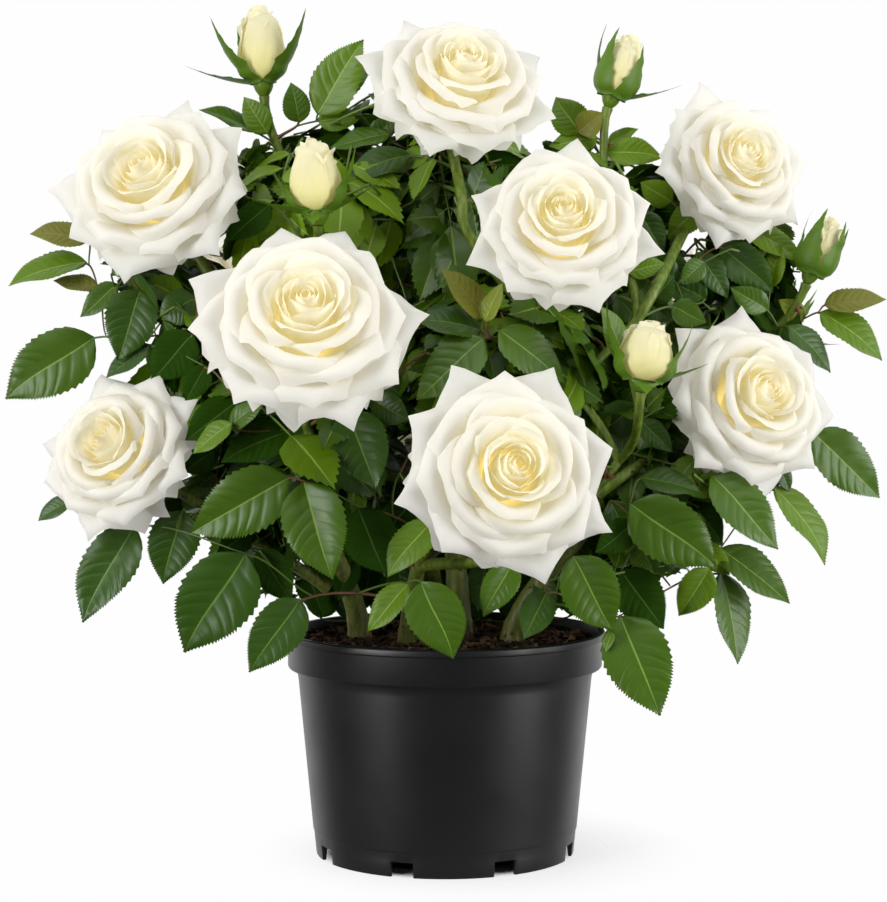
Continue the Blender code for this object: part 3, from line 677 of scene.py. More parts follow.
# The grid is finer towards the rim and the side margins, where a petal rolls
bm = bmesh.new()
bmesh.ops.create_grid(bm, x_segments=16, y_segments=18, size=1.0)
petal = kept(bm)
petal.u = np.sign(petal.corners[:, 0]) * (1 - (1 - np.abs(petal.corners[:, 0])) ** 1.3)
petal.v = 1 - (0.5 - petal.corners[:, 1] / 2) ** 1.25


def laid_petals(stages, foot, base_radius, seed, ruffle=1.0):
    """The corners of every petal of a flower of radius 1, facing +Z, and each corner's share of cream, which
    also sets the painted glow.
    """
    dice = np.random.default_rng(seed)
    count = len(stages)
    age, reach, rise, tilt, end_tilt, half, roll, cut, point, tuck, lip = stages.T[..., None]
    wobble = dice.normal(0, 1, (count, 8, 1)).clip(-2, 2)
    reach = reach * (1 + 0.020 * wobble[:, 0])
    rise = rise + 0.014 * wobble[:, 1]
    half = half * (1 + 0.06 * wobble[:, 2])
    roll = roll * (1 + 0.22 * wobble[:, 3])
    tilt, end_tilt = np.radians(tilt), np.radians(end_tilt + 6 * age * wobble[:, 4])
    u, v = petal.u[None, :], petal.v[None, :]
    top = v * (1 - cut * np.abs(u) ** point)
    base = np.stack([base_radius * (0.35 + 0.65 * age), foot + 0 * age], 2)
    rim = np.stack([reach, rise], 2)
    chord = np.linalg.norm(rim - base, axis=2)[..., None]
    leave = base + chord * 0.42 * np.stack([np.sin(tilt), np.cos(tilt)], 2)
    pull = chord * (0.22 + 0.14 * age[..., None] ** 2)
    arrive = rim - pull * np.stack([np.sin(end_tilt), np.cos(end_tilt)], 2)
    s = top[..., None]
    line = (1 - s) ** 3 * base + 3 * (1 - s) ** 2 * s * leave + 3 * (1 - s) * s ** 2 * arrive + s ** 3 * rim
    slope = (1 - s) ** 2 * (leave - base) + 2 * (1 - s) * s * (arrive - leave) + s ** 2 * (rim - arrive)
    slope /= np.linalg.norm(slope, axis=2)[..., None]
    swell = np.interp(v, *PETAL_OUTLINE)
    side = u * half * swell
    # A petal wraps round the flower's axis, and the outer ones lie flatter than that
    flat = 1.0 + 0.55 * np.clip(age - 0.35, 0, 1) * v
    curve = np.maximum(line[..., 0], 0.02) * flat
    angle = 2.5 * np.tanh(side / curve / 2.5)
    radial = line[..., 0] - curve * (1 - np.cos(angle)) + tuck * u * np.sin(np.pi * v ** 0.7 / 1.3)
    across = curve * np.sin(angle)
    late = np.clip((v - 0.35) / 0.65, 0, 1)
    near_rim = np.clip((v - 0.80) / 0.20, 0, 1) ** 2 + late * np.clip((np.abs(u) - 0.74) / 0.26, 0, 1) ** 2
    back = roll * half * (np.abs(u) ** 2.6) * late ** 1.5 + lip * np.minimum(near_rim, 1.3)
    long_waves = 0.022 * np.sin(2.2 * np.pi * u + 3 * wobble[:, 5]) * v ** 2.5
    short_waves = 0.012 * np.sin(4.6 * np.pi * u + 5 * wobble[:, 6]) * v ** 4
    back = back + ruffle * (age * (long_waves + short_waves) + 0.006 * wobble[:, 7] * u * v)
    radial = radial + back * slope[..., 1]
    height = line[..., 1] - back * slope[..., 0]
    turn = np.arange(count)[:, None] * GOLDEN + 0.09 * dice.normal(0, 1, (count, 1))
    x = radial * np.cos(turn) - across * np.sin(turn)
    y = radial * np.sin(turn) + across * np.cos(turn)
    cream_and_glow = 0.30 * np.clip(1.2 - age / 0.60, 0, 1) + (1 - v) ** (1.0 + 0.75 * age) * (1.0 - 0.12 * age)
    return np.stack([x, y, height], 2), np.clip(cream_and_glow, 0, 1)


def flower_frame(axis, spin):
    """Rows that turn a flower's own X, Y and Z into the plant's, with the flower's spin about its axis."""
    turn = axis.to_track_quat("Z", "Y").to_matrix() @ Matrix.Rotation(spin, 3, "Z")
    return np.array(turn.transposed())


def add_flower(name, corners, cream_and_glow, skin, slot, node_name):
    """One flower: its petals joined, with their own UV map and the share of cream on each corner, which also
    sets its painted glow.
    """
    obj = joined(name, [(petal, corners, 0)], skin)
    layer = obj.data.uv_layers.new(name="petal_map")
    pairs = np.stack([petal.u * 0.5 + 0.5, petal.v], 1)[petal.loops]
    layer.uv.foreach_set("vector", np.tile(pairs, (len(corners), 1)).astype(np.float32).ravel())
    share = obj.data.attributes.new("cream_and_glow", "FLOAT", "POINT")
    share.data.foreach_set("value", cream_and_glow.astype(np.float32).ravel())
    declare(obj, slot, node_name)
    return obj


PETAL_VEINS = (34.0, 1.6, 0.0)  # veins across a petal's breadth, and changes along its length


def petal_skin(name, stops, roughness):
    """Petal: a soft satin skin that lets light through, white at the rim and warmer towards the heart, with a
    painted glow deep in its folds.
    """
    made, shader, tree = finish_of(name, stops[0][1], roughness, Specular_IOR_Level=0.35)
    share = add_node(tree, "ShaderNodeAttribute", attribute_name="cream_and_glow").outputs["Fac"]
    spot = add_node(tree, "ShaderNodeUVMap", uv_map="petal_map").outputs["UV"]
    fan = add_node(tree, "ShaderNodeVectorMath", {0: spot, 1: PETAL_VEINS}, operation="MULTIPLY")
    sockets = {"Vector": fan.outputs["Vector"], "Scale": 1.0, "Detail": 3.0}
    veins = add_node(tree, "ShaderNodeTexNoise", sockets).outputs["Fac"]
    sway = add_node(tree, "ShaderNodeMapRange", {"Value": veins, "From Min": 0.3, "From Max": 0.7,
                    "To Min": -0.04, "To Max": 0.04})
    warm = add_node(tree, "ShaderNodeMath", {0: share, 1: sway.outputs["Result"]}, operation="ADD")
    colour = add_node(tree, "ShaderNodeValToRGB", {"Fac": warm.outputs[0]}, stops=stops).outputs["Color"]
    bump = add_node(tree, "ShaderNodeBump", {"Height": veins, "Strength": 0.10, "Distance": 0.0005})
    tree.links.new(colour, shader.inputs["Base Color"])
    tree.links.new(bump.outputs["Normal"], shader.inputs["Normal"])
    # Painted glow: the petals give off a faint golden light of their own, strongest deep in the folds where
    # the share of cream is high, for the light that comes through the layers of petals and adds up there
    painted_glow = add_node(tree, "ShaderNodeMapRange", {"Value": share, "From Min": 0.30, "To Max": 0.19})
    tree.links.new(painted_glow.outputs["Result"], shader.inputs["Emission Strength"])
    shader.inputs["Emission Color"].default_value = linear("fff6ca")
    through = add_node(tree, "ShaderNodeBsdfTranslucent", {"Color": colour})
    both = add_node(tree, "ShaderNodeMixShader", {0: 0.36, 1: shader.outputs[0], 2: through.outputs[0]})
    tree.links.new(both.outputs[0], tree.nodes["Material Output"].inputs["Surface"])
    return made


white_petal = petal_skin("white_rose_petal",
                         [(0.05, "fefcf6"), (0.24, "fefbec"), (0.50, "fffbe8"), (0.95, "fffae0")], 0.50)
SPINS = {"rose_left": 0.3, "rose_front": 1.1, "rose_top": 2.0, "rose_top_left": 0.8}
for index, (name, (centre, turn, rise, radius)) in enumerate(ROSES.items()):
    # Most petals are in the heart, and few but large ones cup it
    ages = np.interp(np.linspace(0, 1, PETALS), [0, 0.40, 0.57, 1], [0, 0.37, 0.66, 1])
    stages = np.stack([ages] + [np.interp(ages, STAGES[:, 0], STAGES[:, i]) for i in range(1, 11)], 1)
    corners, cream_and_glow = laid_petals(stages, ROSE_FOOT, ROSE_BASE, 100 + index)
    axes = flower_frame(facing(turn, rise), SPINS.get(name, index * 1.7))
    add_flower(f"{name}_petals", corners * radius @ axes + centre, cream_and_glow, white_petal, "petal", name)

# ---- Buds --------------------------------------------------------------------------------------------------
# Closed buds on a green hip: a few pale yellow-green petals furled to a blunt point, each edge lying over the
# next. Their rows are read as those of the open roses, with lengths as shares of the bud's own length.
BUD_STAGES = np.array([
    (0.00, 0.020, 0.97, 30, -16, 0.12, 0.00, 0.12, 2.0, 0.012, 0.002),
    (0.50, 0.066, 0.95, 54, -18, 0.31, 0.05, 0.17, 1.5, 0.034, 0.022),
    (1.00, 0.118, 0.84, 70, -4, 0.40, 0.17, 0.26, 1.1, 0.048, 0.046),
])
bud_outsides = {}
BUD_PETALS, BUD_FOOT, BUD_BASE = 9, 0.15, 0.10
bud_petal = petal_skin("green_white_bud_petal",
                       [(0.04, "fdfae6"), (0.40, "faf5c2"), (0.70, "f3f0a2"), (0.95, "d6de80")], 0.48)
for index, (name, (foot, tip, belly)) in enumerate(BUDS.items()):
    foot, up = Vector(foot), Vector(tip) - Vector(foot)
    shares = np.linspace(0, 1, BUD_PETALS)
    stages = np.stack([0.30 * shares] + [np.interp(shares, BUD_STAGES[:, 0], BUD_STAGES[:, i])
                                         for i in range(1, 11)], 1)
    corners = laid_petals(stages, BUD_FOOT, BUD_BASE, 200 + index, 0.5)[0]
    # Greenest at the foot, and a little green at the tips; the same share sets the painted glow, strongest at
    # the foot
    rises = corners[..., 2]
    cream_and_glow = np.clip(0.12 + 0.75 * (1 - rises) ** 1.6 + 0.12 * np.clip(rises - 0.8, 0, 1), 0, 1)
    places = corners * (np.array((1, 1, 0)) * belly / np.abs(corners[..., :2]).max() + (0, 0, up.length))
    corners = places @ flower_frame(up, index * 1.3) + foot
    add_flower(f"{name}_petals", corners, cream_and_glow, bud_petal, "bud_petal", name)
    reach, height = np.hypot(places[..., 0], places[..., 1]).ravel(), places[..., 2].ravel()
    levels = np.linspace(0.15, 1.0, 15) * up.length
    bud_outsides[name] = levels, [reach[np.abs(height - level) < 0.04 * up.length].max() for level in levels]

# ---- Hips and sepals ---------------------------------------------------------------------------------------
# Under every flower sits a smooth green hip, the young fruit, with five pointed sepals on its rim that have
# small side lobes. On a bud some lie against the petals and some stand off. Under an open rose they are all
# rolled back.
HIP_PROFILE = [(0.0, 0.46), (0.10, 0.58), (0.28, 0.80), (0.50, 0.96), (0.72, 1.0), (0.90, 0.97), (1.0, 0.90)]
bm = spun([(radius, height) for height, radius in HIP_PROFILE] + [(0.0, 1.0)], 20)
hip = kept(bm)
SEPAL_ROWS = 24
BUD_HIP_RADIUS, BUD_HIP_HEIGHT = 0.41, 0.20  # shares of the bud's radius and of its length
BUD_SEPAL_WIDTH, ROSE_SEPAL_WIDTH, ROSE_SEPAL_LENGTH = 0.0142, 0.0082, 0.022
ROSE_HIP, ROSE_HIP_DROP = (0.0056, 0.0056, 0.0085), 0.0048
ROSE_SEPAL_START, ROSE_SEPAL_ANGLES = (0.0052, 0.0006), (94, 136)
bm = bmesh.new()
bmesh.ops.create_grid(bm, x_segments=4, y_segments=SEPAL_ROWS, size=1.0)
sepal = kept(bm)
sepal.row = np.rint((sepal.corners[:, 1] + 1) / 2 * SEPAL_ROWS).astype(int)
along = sepal.row / SEPAL_ROWS
SEPAL_OUTLINE = (  # place along a sepal, and its width there
    (0, 0.10, 0.22, 0.38, 0.55, 0.78, 1),
    (0.96, 1.12, 1.12, 0.94, 0.56, 0.24, 0.02),
)
sepal.half = np.interp(along, *SEPAL_OUTLINE)
# Small side lobes on its upper half
sepal.half += 0.34 * (1 - along) * (along > 0.3) * np.clip(np.sin(2 * np.pi * 5.2 * (along - 0.3)), 0, 1)
# Each bud's sepals: turn round it from the right towards the front, angle from its axis at the foot and at
# the tip, in degrees, and length in millimetres
SEPALS = {
    "bud_top_left": (
        (150, 62, 20, 43), (28, 60, 20, 45), (184, 88, 62, 40), (222, 46, 8, 36), (280, 45, 0, 34)),
    "bud_left": (
        (166, 66, 16, 30), (18, 60, 12, 38), (186, 80, 62, 42), (350, 74, 54, 36), (96, 92, 132, 12)),
    "bud_top_right": (
        (140, 60, -16, 38), (44, 56, -12, 32), (350, 72, 50, 36), (192, 58, -6, 40), (262, 45, 0, 32)),
    "bud_right": (
        (128, 56, -18, 37), (44, 54, -14, 34), (186, 54, -10, 36), (336, 50, -4, 32), (268, 45, 0, 30)),
    "bud_front_right": (
        (166, 62, 8, 44), (18, 62, 8, 36), (350, 72, 58, 30), (84, 92, 132, 11), (262, 50, 0, 32)),
}
hips, sepals = [], []


def add_sepal(foot, frame_rows, turn, first_angle, last_angle, length, start, clear, width):
    """A sepal that starts on the hip's rim and curves from one angle off the flower's axis to another."""
    steps = np.linspace(0, 1, SEPAL_ROWS + 1)
    angle = np.radians(first_angle + (last_angle - first_angle) * steps ** 0.55)
    radial = start[0] + np.concatenate([[0], np.cumsum(np.sin(angle[1:]))]) * length / SEPAL_ROWS
    height = start[1] + np.concatenate([[0], np.cumsum(np.cos(angle[1:]))]) * length / SEPAL_ROWS
    radial = np.maximum(radial, clear(height))
    side, row = sepal.corners[:, 0], sepal.row
    # It wraps round the flower's axis, less so where it stands far off
    wrap = side * 0.5 * width * sepal.half / np.maximum(radial[row], 0.006)
    out, across = radial[row] * np.cos(wrap), radial[row] * np.sin(wrap)
    up = height[row] + 0.10 * width * (side ** 2) * sepal.half * np.sin(angle[row])
    turn = math.radians(turn)
    x = out * math.cos(turn) + across * math.sin(turn)
    y = -out * math.sin(turn) + across * math.cos(turn)
    sepals.append(np.stack([x, y, up], 1) @ frame_rows + np.array(foot))


for index, (name, (foot, tip, belly)) in enumerate(BUDS.items()):
    foot, up = Vector(foot), Vector(tip) - Vector(foot)
    rightwards = (Vector((1, 0, 0)) - up * (up.x / up.length_squared)).normalized()
    rows = np.array([rightwards[:], up.normalized().cross(rightwards)[:], up.normalized()[:]])
    size = belly * BUD_HIP_RADIUS
    hips.append(hip.corners * (size, size, up.length * BUD_HIP_HEIGHT) @ rows + np.array(foot))

    def clear(height):
        levels, outside = bud_outsides[name]
        return np.interp(height, [*levels, up.length * 1.05], [*outside, 0.0]) + 0.0005
    for turn, first_angle, last_angle, length in SEPALS.get(name, SEPALS["bud_top_left"]):
        add_sepal(foot, rows, turn + (0 if name in SEPALS else 160), first_angle, last_angle, length / 1000,
                  (size * 0.88, up.length * 0.125), clear, BUD_SEPAL_WIDTH)
bud_sepals = list(sepals)
sepals.clear()
for index, (name, (centre, turn, rise, radius)) in enumerate(ROSES.items()):
    foot, axis, _ = flower_foot(name)
    rows = flower_frame(axis, index * 0.9)
    hips.append(hip.corners * ROSE_HIP @ rows + np.array(foot - axis * ROSE_HIP_DROP))
    for fifth in range(5):
        turn = fifth * 72 + 9 * math.sin(index + fifth * 2)
        length = ROSE_SEPAL_LENGTH + 0.003 * math.sin(index * 3 + fifth)
        add_sepal(foot, rows, turn, *ROSE_SEPAL_ANGLES, length, ROSE_SEPAL_START, np.zeros_like,
                  ROSE_SEPAL_WIDTH)
# Sepal and hip: smooth and waxy, fresh green, a little paler than the leaves
sepal_skin = finish_of("green_sepal", "54761a", 0.44, Specular_IOR_Level=0.3)[0]
hip_skin = finish_of("green_hip", "5c7b18", 0.40, Specular_IOR_Level=0.35)[0]
declare(joined("bud_sepals", [(sepal, bud_sepals, 0)], sepal_skin), "stem_green")
declare(joined("rose_sepals", [(sepal, sepals, 0)], sepal_skin), "stem_green")
declare(joined("hips", [(hip, hips, 0)], hip_skin), "stem_green")

# ---- Leaflets that show their shape ------------------------------------------------------------------------
# Rose leaves: each leaflet is ovate with a drawn-out tip and a saw-toothed edge, dark and glossy above, with
# a paler midrib in a shallow fold and a quilted blade between its side veins. The ones that stand out in
# front of the rest are placed one by one.
LEAF_TINTS = {
    # blade, midrib, roughness and specular level; old leaves are dark, and the shade tint, darkest and dull,
    # is painted shade for leaves deep in the crown
    "shade": ("244303", "41601a", 0.62, 0.08), "dark": ("2f5004", "5d7f24", 0.39, 0.46),
    "mid": ("426304", "78963a", 0.39, 0.50), "fresh": ("597a04", "8ba544", 0.40, 0.40),
    "bright": ("688a08", "9ab44e", 0.41, 0.36),
    "young": ("7c8a26", "a9bb63", 0.40, 0.40), "red": ("737522", "8f7d40", 0.40, 0.40),
}
TINTS = {name: 2 * index for index, name in enumerate(LEAF_TINTS)}
leaf_skins = []
for name, (blade, rib, roughness, shine) in LEAF_TINTS.items():
    # Leaf: a waxy skin whose soft shine shows the quilting
    leaf_skins.append(finish_of(f"rose_leaf_{name}", blade, roughness, Specular_IOR_Level=shine)[0])
    # Midrib: the same skin, paler, as the light goes through the vein
    leaf_skins.append(finish_of(f"rose_leaf_{name}_midrib", rib, roughness + 0.1)[0])


def leaflet_shape(places, veins, rows_each, teeth):
    """A leaflet's grid: its columns at these places across (-1 to 1), its rows along the side veins."""
    rows = veins * rows_each
    bm = bmesh.new()
    bmesh.ops.create_grid(bm, x_segments=len(places) - 1, y_segments=rows, size=1.0)
    bm.faces.ensure_lookup_table()
    shape = kept(bm, [int(abs(face.calc_center_median().x) < 1e-3) for face in bm.faces])
    column = np.rint((shape.corners[:, 0] + 1) / 2 * (len(places) - 1)).astype(int)
    row = np.rint((shape.corners[:, 1] + 1) / 2 * rows).astype(int)
    shape.u, along = np.array(places)[column], row / rows
    across = np.abs(shape.u)
    # Side veins run forwards from the midrib to the margin
    shape.v = along + 0.38 * across ** 1.25 * (1 - along) * np.minimum(1, along / 0.30)
    # Ovate outline with a drawn-out tip, and a tooth on every other row that points forwards
    spread = np.interp(shape.v, [0, 0.02, 0.06, 0.13, 0.24, 0.36, 0.48, 0.62, 0.75, 0.86, 0.94, 1],
                       [0.03, 0.26, 0.50, 0.75, 0.94, 1.0, 0.98, 0.86, 0.64, 0.37, 0.15, 0.0])
    edge = across > 0.99
    tooth = edge & (row % 2 == 1)
    uneven = 1 + 0.3 * np.sin(2.3 * row + shape.u)
    shape.spread = spread * np.where(tooth, 1 + teeth * uneven, 1 - 0.6 * teeth * edge)
    shape.forward = shape.v + tooth * 0.8 / rows
    # The blade swells between its side veins, some parts more than others
    swell = np.abs(np.sin(np.pi * along * veins)) ** 0.30 * np.sqrt(across)
    swell = swell * (1 - across ** 4) * (1 - shape.v ** 6)
    vein = np.floor(along * veins)
    shape.quilt = swell * (0.95 + 0.42 * np.sin(2.7 * vein + 1.9 * np.sign(shape.u) + 7.5 * across))
    return shape


fine_leaflet = leaflet_shape([-1, -0.90, -0.66, -0.38, -0.03, 0.03, 0.38, 0.66, 0.90, 1], 8, 6, 0.046)
plain_leaflet = leaflet_shape([-1, -0.62, -0.045, 0.045, 0.62, 1], 5, 3, 0.040)


def laid_leaflets(shape, base, tip, face, width, arch, fold, quilt, sway):
    """The corners of leaflets from base to tip, each with the heading of its face and its width."""
    base, tip, face = (np.asarray(rows, float).reshape(-1, 3) for rows in (base, tip, face))
    width, arch, fold, quilt, sway = (np.asarray(rows, float).reshape(-1, 1)
                                      for rows in (width, arch, fold, quilt, sway))
    length = np.linalg.norm(tip - base, axis=1)[:, None]
    ahead = (tip - base) / length
    face = face - ahead * (face * ahead).sum(1)[:, None]
    face /= np.linalg.norm(face, axis=1)[:, None]
    right = np.cross(ahead, face)
    u, v, across = shape.u[None, :], shape.v[None, :], np.abs(shape.u)[None, :]
    half = 0.5 * width * shape.spread[None, :]
    x = u * half * np.cos(fold) + sway * length * np.sin(np.pi * v) * (v - 0.3)
    y = shape.forward[None, :] * length
    z = 4 * arch * length * v * (1 - v) + half * (np.sin(fold) * across - 0.42 * fold * across ** 2.4) \
        + quilt * length * shape.quilt[None, :] - 0.014 * length * across ** 3 * np.cos(11 * v + 40 * sway)
    return base[:, None, :] + x[..., None] * right[:, None, :] + y[..., None] * ahead[:, None, :] \
        + z[..., None] * face[:, None, :]


def at_pixel(x, y, depth):
    """The point of space that shows at a pixel of the frame, on the upright plane Y = depth."""
    across, up = (x - FRAME_SIZE[0] / 2) / FOCAL_PIXELS, (FRAME_SIZE[1] / 2 - y) / FOCAL_PIXELS
    ahead = Vector((0, math.cos(CAMERA_DROP), -math.sin(CAMERA_DROP)))
    heading = Vector((across, 0, 0)) + ahead + up * Vector((0, math.sin(CAMERA_DROP), math.cos(CAMERA_DROP)))
    return CAMERA_PLACE + heading * (depth - CAMERA_PLACE.y) / heading.y


# Each leaflet by the pixels of its base and its tip, its breadth there, its depth in metres, and its tint
SHOWN_LEAFLETS = (
    # left side
    (95, 337, 5, 399, 64, -0.030, "mid"), (86, 262, 10, 286, 24, -0.030, "fresh"),
    (88, 239, 31, 234, 24, -0.028, "red"), (98, 288, 53, 281, 15, -0.030, "red"),
    (117, 284, 81, 317, 26, -0.034, "mid"), (140, 289, 119, 360, 54, -0.050, "dark"),
    (112, 272, 153, 260, 24, -0.038, "mid"), (150, 345, 107, 378, 22, -0.050, "dark"),
    (192, 334, 152, 380, 46, -0.060, "shade"), (196, 298, 158, 318, 36, -0.050, "dark"),
    (205, 366, 186, 402, 28, -0.070, "shade"), (236, 402, 186, 440, 40, -0.080, "shade"),
    (232, 423, 193, 454, 20, -0.088, "fresh"), (228, 428, 266, 402, 20, -0.084, "mid"),
    (294, 430, 222, 462, 38, -0.076, "shade"), (72, 500, 38, 521, 18, -0.060, "dark"),
    (133, 527, 84, 621, 58, -0.072, "dark"), (182, 511, 164, 583, 52, -0.070, "dark"),
    (246, 553, 184, 653, 78, -0.086, "dark"), (300, 600, 250, 671, 52, -0.090, "dark"),
    (258, 550, 292, 602, 40, -0.076, "shade"), (290, 477, 191, 533, 68, -0.096, "mid"),
    (303, 483, 333, 578, 70, -0.106, "mid"), (347, 411, 376, 488, 60, -0.100, "dark"),
    # low front
    (358, 508, 386, 574, 58, -0.080, "shade"), (432, 522, 388, 576, 36, -0.092, "fresh"),
    (408, 585, 368, 631, 28, -0.104, "fresh"), (421, 581, 453, 659, 58, -0.110, "mid"),
    (513, 562, 483, 616, 38, -0.100, "mid"), (547, 592, 524, 638, 36, -0.096, "dark"),
    (573, 556, 613, 631, 62, -0.100, "mid"), (634, 524, 595, 552, 34, -0.092, "shade"),
    (612, 632, 606, 652, 10, -0.094, "fresh"), (610, 500, 634, 556, 34, -0.080, "dark"),
    # right side, low
    (621, 571, 663, 628, 50, -0.086, "shade"), (621, 617, 659, 714, 68, -0.092, "mid"),
    (709, 568, 679, 616, 38, -0.076, "fresh"), (722, 573, 736, 663, 36, -0.070, "mid"),
    (721, 549, 788, 603, 36, -0.070, "mid"), (630, 503, 716, 567, 64, -0.094, "mid"),
    (712, 476, 777, 548, 48, -0.088, "mid"), (690, 499, 722, 543, 36, -0.080, "shade"),
    (700, 543, 730, 575, 26, -0.072, "bright"), (640, 545, 655, 574, 34, -0.080, "mid"),
    (775, 487, 824, 564, 28, -0.060, "fresh"), (776, 461, 790, 492, 18, -0.056, "dark"),
    (640, 478, 700, 492, 22, -0.088, "dark"), (640, 420, 672, 452, 26, -0.080, "dark"),
    # right side, high
    (812, 432, 880, 498, 52, -0.050, "mid"), (821, 312, 880, 361, 32, -0.030, "fresh"),
    (825, 305, 885, 299, 22, -0.028, "red"), (788, 326, 830, 373, 24, -0.040, "dark"),
    (722, 246, 772, 292, 44, -0.030, "dark"), (768, 310, 730, 287, 28, -0.034, "mid"),
    (770, 288, 781, 243, 22, -0.026, "bright"), (744, 228, 801, 263, 26, -0.020, "bright"),
    (697, 252, 727, 299, 30, -0.032, "dark"), (706, 300, 663, 275, 32, -0.034, "dark"),
    (805, 318, 778, 300, 20, -0.024, "young"), (672, 202, 640, 182, 28, -0.020, "bright"),
    (702, 204, 668, 238, 30, -0.024, "bright"), (640, 212, 663, 254, 32, -0.030, "dark"),
    # top
    (317, 114, 364, 41, 48, -0.010, "fresh"), (318, 121, 362, 117, 26, -0.004, "fresh"),
    (326, 106, 379, 57, 26, 0.002, "fresh"), (300, 122, 291, 83, 28, -0.006, "mid"),
    (268, 134, 244, 97, 28, -0.002, "fresh"), (256, 132, 200, 110, 14, -0.002, "mid"),
    (372, 140, 399, 111, 24, -0.006, "dark"), (400, 112, 368, 94, 14, -0.004, "mid"),
    (390, 134, 330, 149, 18, -0.014, "mid"), (410, 155, 345, 178, 28, -0.030, "dark"),
    (580, 134, 556, 97, 38, -0.012, "fresh"), (578, 132, 603, 113, 30, -0.020, "red"),
    (598, 137, 549, 147, 26, -0.012, "bright"), (606, 152, 663, 158, 30, -0.014, "bright"),
    (608, 146, 638, 129, 14, -0.008, "bright"), (590, 160, 568, 158, 12, -0.020, "mid"),
    (628, 272, 666, 264, 22, -0.050, "fresh"), (672, 306, 706, 322, 28, -0.052, "mid"),
    (640, 294, 672, 322, 30, -0.044, "dark"), (616, 296, 642, 324, 28, -0.050, "dark"),
    (650, 280, 628, 306, 26, -0.046, "mid"), (676, 282, 648, 250, 26, -0.040, "dark"),
    (664, 258, 692, 284, 26, -0.036, "dark"), (652, 302, 674, 276, 26, -0.048, "dark"),
    (704, 262, 680, 282, 24, -0.040, "mid"), (214, 450, 184, 472, 32, -0.020, "shade"),
    (216, 474, 184, 496, 30, -0.014, "dark"), (252, 530, 218, 552, 32, -0.030, "shade"),
    # behind the canes
    (306, 566, 322, 616, 34, 0.020, "shade"), (336, 560, 344, 608, 32, 0.034, "dark"),
    (352, 556, 338, 600, 30, -0.010, "shade"), (372, 562, 362, 612, 34, 0.050, "shade"),
    (398, 566, 406, 614, 32, 0.040, "dark"), (430, 562, 420, 612, 34, 0.052, "shade"),
    (455, 560, 462, 612, 34, 0.060, "shade"), (486, 562, 478, 610, 32, 0.046, "dark"),
    (505, 566, 514, 614, 34, 0.058, "shade"), (534, 560, 528, 612, 34, 0.044, "shade"),
    (556, 556, 562, 610, 32, 0.036, "dark"), (584, 562, 576, 614, 34, 0.024, "shade"),
    (602, 556, 612, 604, 30, 0.010, "shade"), (540, 575, 552, 612, 24, -0.020, "dark"),
    (318, 618, 330, 572, 34, 0.030, "shade"), (352, 620, 346, 574, 34, 0.045, "dark"),
    (384, 620, 392, 572, 36, 0.055, "shade"), (414, 620, 408, 574, 36, 0.060, "dark"),
    (446, 620, 452, 574, 36, 0.062, "shade"), (480, 620, 474, 574, 36, 0.060, "dark"),
    (512, 620, 518, 572, 36, 0.055, "shade"), (544, 618, 540, 572, 34, 0.045, "dark"),
    (572, 616, 580, 570, 32, 0.030, "shade"),
    # middle
    (484, 338, 417, 400, 48, -0.102, "mid"), (499, 330, 564, 383, 40, -0.100, "mid"),
    (482, 331, 412, 320, 26, -0.094, "dark"), (484, 318, 441, 270, 26, -0.096, "red"),
    (485, 322, 503, 283, 16, -0.098, "young"), (626, 364, 600, 306, 24, -0.100, "fresh"),
    (372, 400, 410, 420, 36, -0.090, "dark"), (270, 204, 229, 240, 32, -0.060, "shade"),
)
LEAF_BREADTH = 0.64  # of its length, for a leaflet seen square on
SHOWN_QUILT = 0.019  # how far a blade swells between its veins, as a share of its length
to_camera = Vector((0, -1, 0))
shown = {"base": [], "tip": [], "face": [], "width": [], "tint": []}
for index, (bx, by, tx, ty, breadth, depth, tint) in enumerate(SHOWN_LEAFLETS):
    base, tip = at_pixel(bx, by, depth), at_pixel(tx, ty, depth)
    scale = (depth - CAMERA_PLACE.y) / FOCAL_PIXELS
    length, breadth = (tip - base).length, breadth * scale
    # A leaflet that looks narrow is turned about its length, with its upper side to the light
    ahead = (tip - base).normalized()
    width = max(breadth, LEAF_BREADTH * length * 0.9)
    turn = math.acos(min(1.0, breadth / width)) * 0.85
    square = (to_camera - ahead * to_camera.dot(ahead)).normalized()
    side = ahead.cross(square)
    turn = turn if side.z > 0 else -turn
    face = square * math.cos(turn) + side * math.sin(turn)
    lean = Vector((0, 0.18 * length * (-1 if index % 3 else 0.4), 0))
    for key, value in zip(shown, (base - lean * 0.5, tip + lean * 0.5, face, width, TINTS[tint])):
        shown[key].append(value)
count = len(SHOWN_LEAFLETS)
dice = np.random.default_rng(5)
arch, fold = dice.uniform(0.015, 0.075, count), dice.uniform(0.12, 0.42, count)
sway = dice.normal(0, 0.05, count)
shown_corners = laid_leaflets(fine_leaflet, shown["base"], shown["tip"], shown["face"], shown["width"], arch,
                              fold, np.full(count, SHOWN_QUILT), sway)
shown_leaves = joined("shown_leaflets", [(fine_leaflet, shown_corners, shown["tint"])], *leaf_skins)
declare(shown_leaves, "leaf", "foliage_low_left", "foliage_low_front", "foliage_low_right")

# ---- Boughs and twigs --------------------------------------------------------------------------------------
# The plant's branching inside the crown. Green boughs rise from the canes to every flower stem. Each leaf's
# twig then springs from the nearest wood below it, so that later twigs branch from earlier ones.


def skin_of(names):
    """The CAD solids of these nodes as one search tree."""
    corners, faces = [], []
    for name in names:
        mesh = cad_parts[name].data
        faces += [[index + len(corners) for index in polygon.vertices] for polygon in mesh.polygons]
        corners += [vert.co.copy() for vert in mesh.vertices]
    return BVHTree.FromPolygons(corners, faces)


ABOVE_COST, BEND_COST, TRIES = 1.4, 0.28, 16  # what counts against wood that is too high or points away
flower_skins = skin_of([*ROSES, *BUDS])
wood = SimpleNamespace(places=[], headings=[], radii=[])


